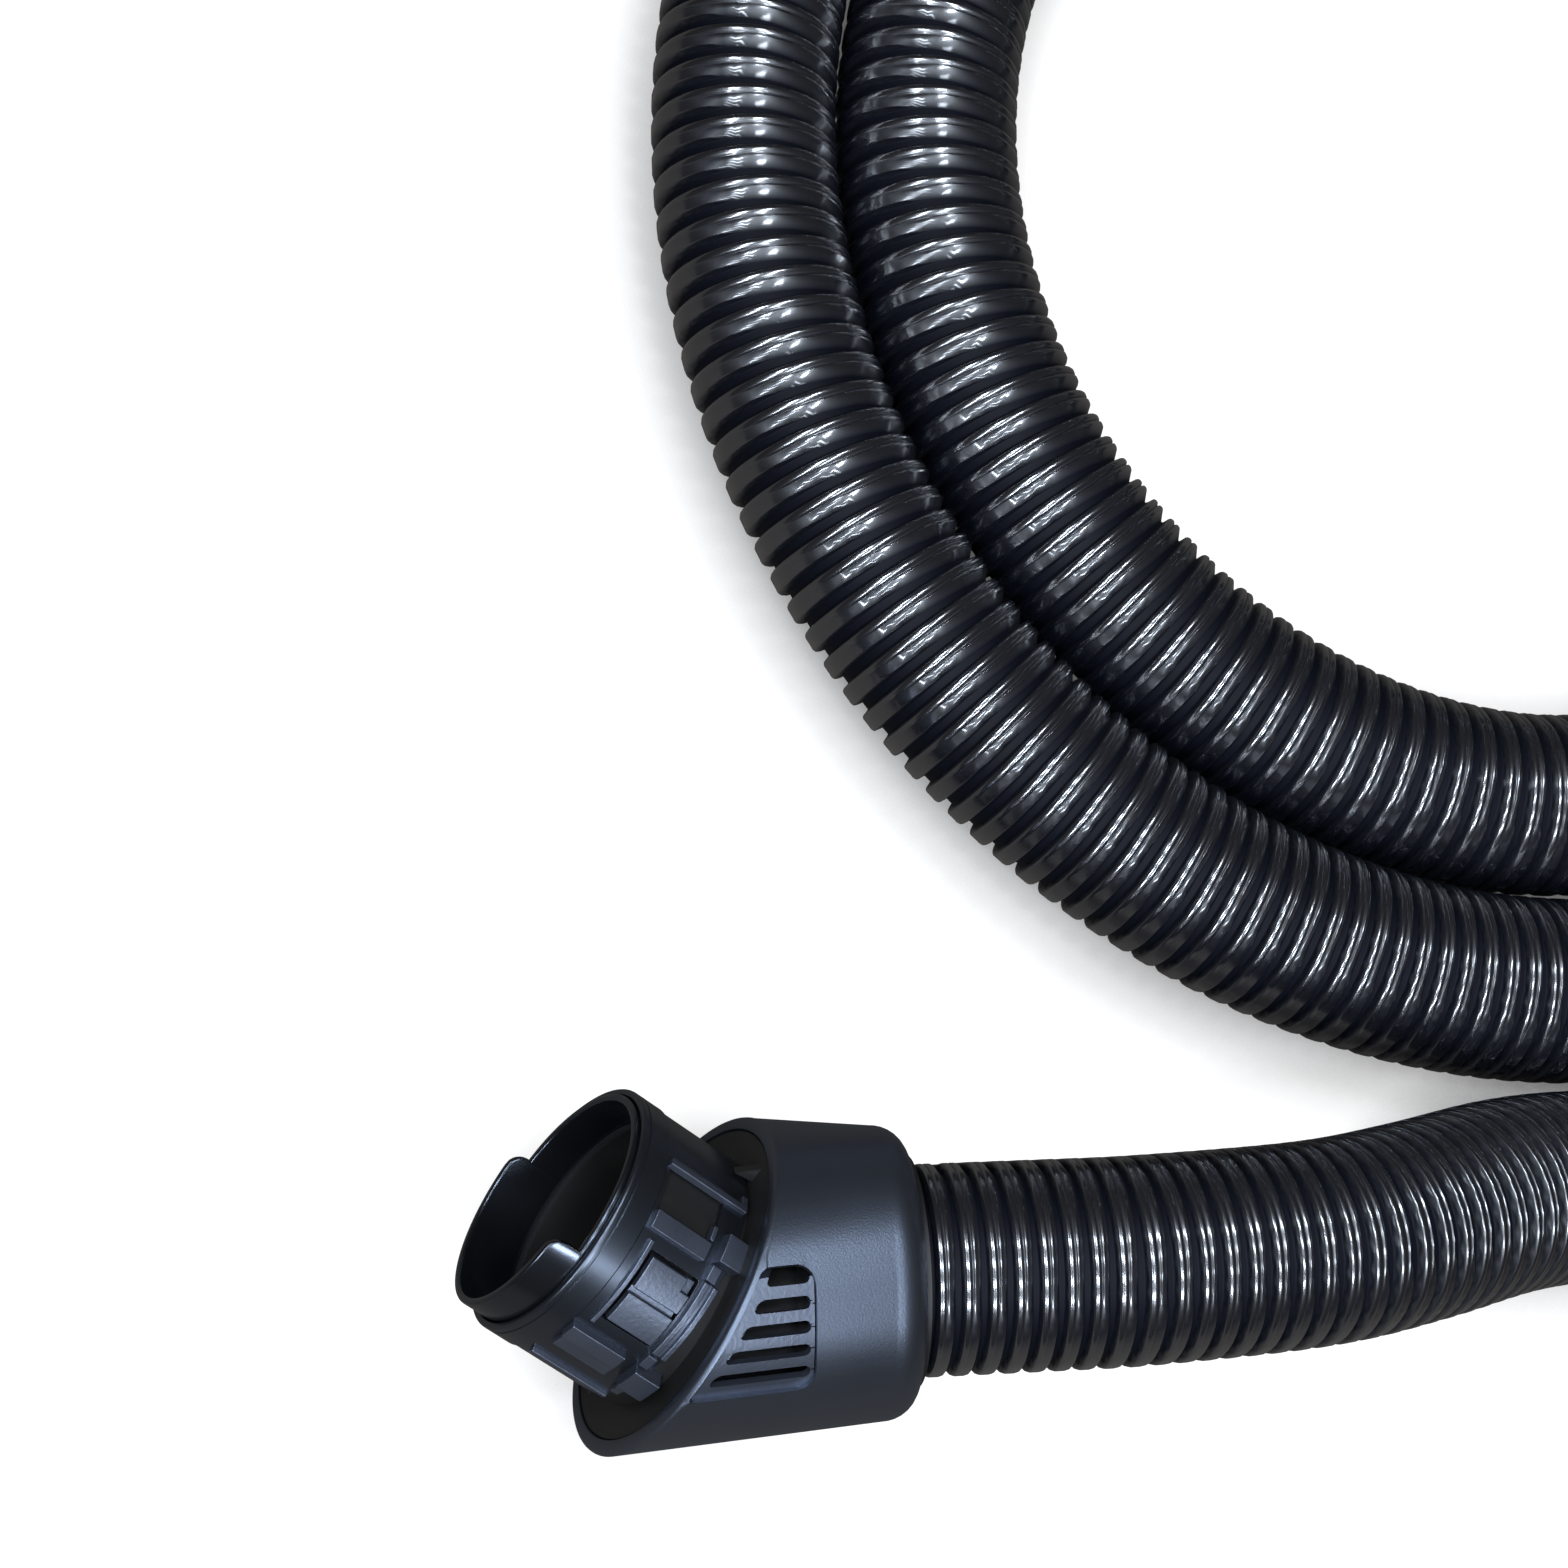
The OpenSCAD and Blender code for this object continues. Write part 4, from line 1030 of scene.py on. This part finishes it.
# %% Floor
floor_size = 8
corners = np.array([[-1, -1, 0], [1, -1, 0], [1, 1, 0], [-1, 1, 0]]) * floor_size / 2
floor = mesh_piece("floor", corners, [[0, 1, 2, 3]])
floor_paint = bpy.data.materials.new("floor_paint")
floor_paint.use_nodes = True
tree = floor_paint.node_tree
seen = tree.nodes.new("ShaderNodeLightPath")
paint = tree.nodes["Principled BSDF"]
tone = add_node(tree, "ShaderNodeMix", data_type="RGBA")  # its colours are inputs 6 and 7
tree.links.new(seen.outputs["Is Camera Ray"], tone.inputs["Factor"])
tone.inputs[6].default_value = (0.11, 0.095, 0.080, 1)
tone.inputs[7].default_value = (0.28, 0.26, 0.24, 1)
tree.links.new(tone.outputs[2], paint.inputs["Base Color"])
paint.inputs["Roughness"].default_value = 0.9
paint.inputs["Specular IOR Level"].default_value = 0.1
paint.inputs["Emission Color"].default_value = (1, 1, 1, 1)
glow = add_node(tree, "ShaderNodeMath", operation="MULTIPLY")
spot = add_node(tree, "ShaderNodeTexCoord")
away = add_node(tree, "ShaderNodeVectorMath", operation="LENGTH")
tree.links.new(spot.outputs["Object"], away.inputs[0])
whiten = add_node(tree, "ShaderNodeMapRange", Value=away.outputs["Value"],
                  From_Min=0.1, From_Max=0.4, To_Min=0.95, To_Max=1.0)
# Ambient occlusion dims the glow close to the hose: a painted contact shadow.
open_sky = add_node(tree, "ShaderNodeAmbientOcclusion", samples=8, Distance=0.022)
lit = add_node(tree, "ShaderNodeMath", operation="MULTIPLY")
tree.links.new(whiten.outputs["Result"], lit.inputs[0])
tree.links.new(open_sky.outputs["AO"], lit.inputs[1])
tree.links.new(lit.outputs[0], glow.inputs[1])
tree.links.new(seen.outputs["Is Camera Ray"], glow.inputs[0])
tree.links.new(glow.outputs[0], paint.inputs["Emission Strength"])
floor.data.materials.append(floor_paint)

# %% World
world = bpy.data.worlds.new("studio")
bpy.context.scene.world = world
world.use_nodes = True
sky = world.node_tree
dim = sky.nodes["Background"]
dim.inputs["Color"].default_value = (1.0, 0.94, 0.86, 1)
dim.inputs["Strength"].default_value = 0.04
white = add_node(sky, "ShaderNodeBackground", Strength=1.0, Color=(1, 1, 1, 1))
seen = sky.nodes.new("ShaderNodeLightPath")
choose = sky.nodes.new("ShaderNodeMixShader")
sky.links.new(seen.outputs["Is Camera Ray"], choose.inputs["Fac"])
sky.links.new(dim.outputs[0], choose.inputs[1])
sky.links.new(white.outputs[0], choose.inputs[2])
sky.links.new(choose.outputs[0], sky.nodes["World Output"].inputs["Surface"])

# %% Lamps
LAMP_FAR = 1.1
LAMP_SIZE = (0.19, 0.11)
LAMP_WATTS = 2.3
rows_of_lamps = [-27, -7, 14, 33]
columns_of_lamps = [-14, 14]
lit_point = np.array([0.1, 0.12, 0.02])


def small_lamp(name, below, beside, watts, colour):
    """A small oblong lamp below and beside the camera by two angles, seen from the lit point.

    Its direction is cos(beside) (cos(below) to_camera - sin(below) view_up) + sin(beside)
    view_right, and it faces the lit point.
    """
    a, b = np.radians(below), np.radians(beside)
    back = np.cos(b) * (np.cos(a) * to_camera - np.sin(a) * view_up) + np.sin(b) * view_right
    across = unit(np.cross(view_up, back))
    data = bpy.data.lights.new(name, "AREA")
    data.shape = "RECTANGLE"
    data.size, data.size_y = LAMP_SIZE
    data.energy = watts
    data.color = colour
    lamp = bpy.data.objects.new(name, data)
    bpy.context.scene.collection.objects.link(lamp)
    pose = np.eye(4)
    pose[:3, :3] = np.stack([across, np.cross(back, across), back], 1)
    pose[:3, 3] = lit_point + LAMP_FAR * back
    lamp.matrix_world = pose.T.tolist()


for row, below in enumerate(rows_of_lamps):
    for column, beside in enumerate(columns_of_lamps):
        small_lamp(f"lamp_{row + 1}_{column + 1}", below, beside, LAMP_WATTS, (0.78, 0.87, 1.0))

bpy.context.scene.view_settings.view_transform = "Standard"
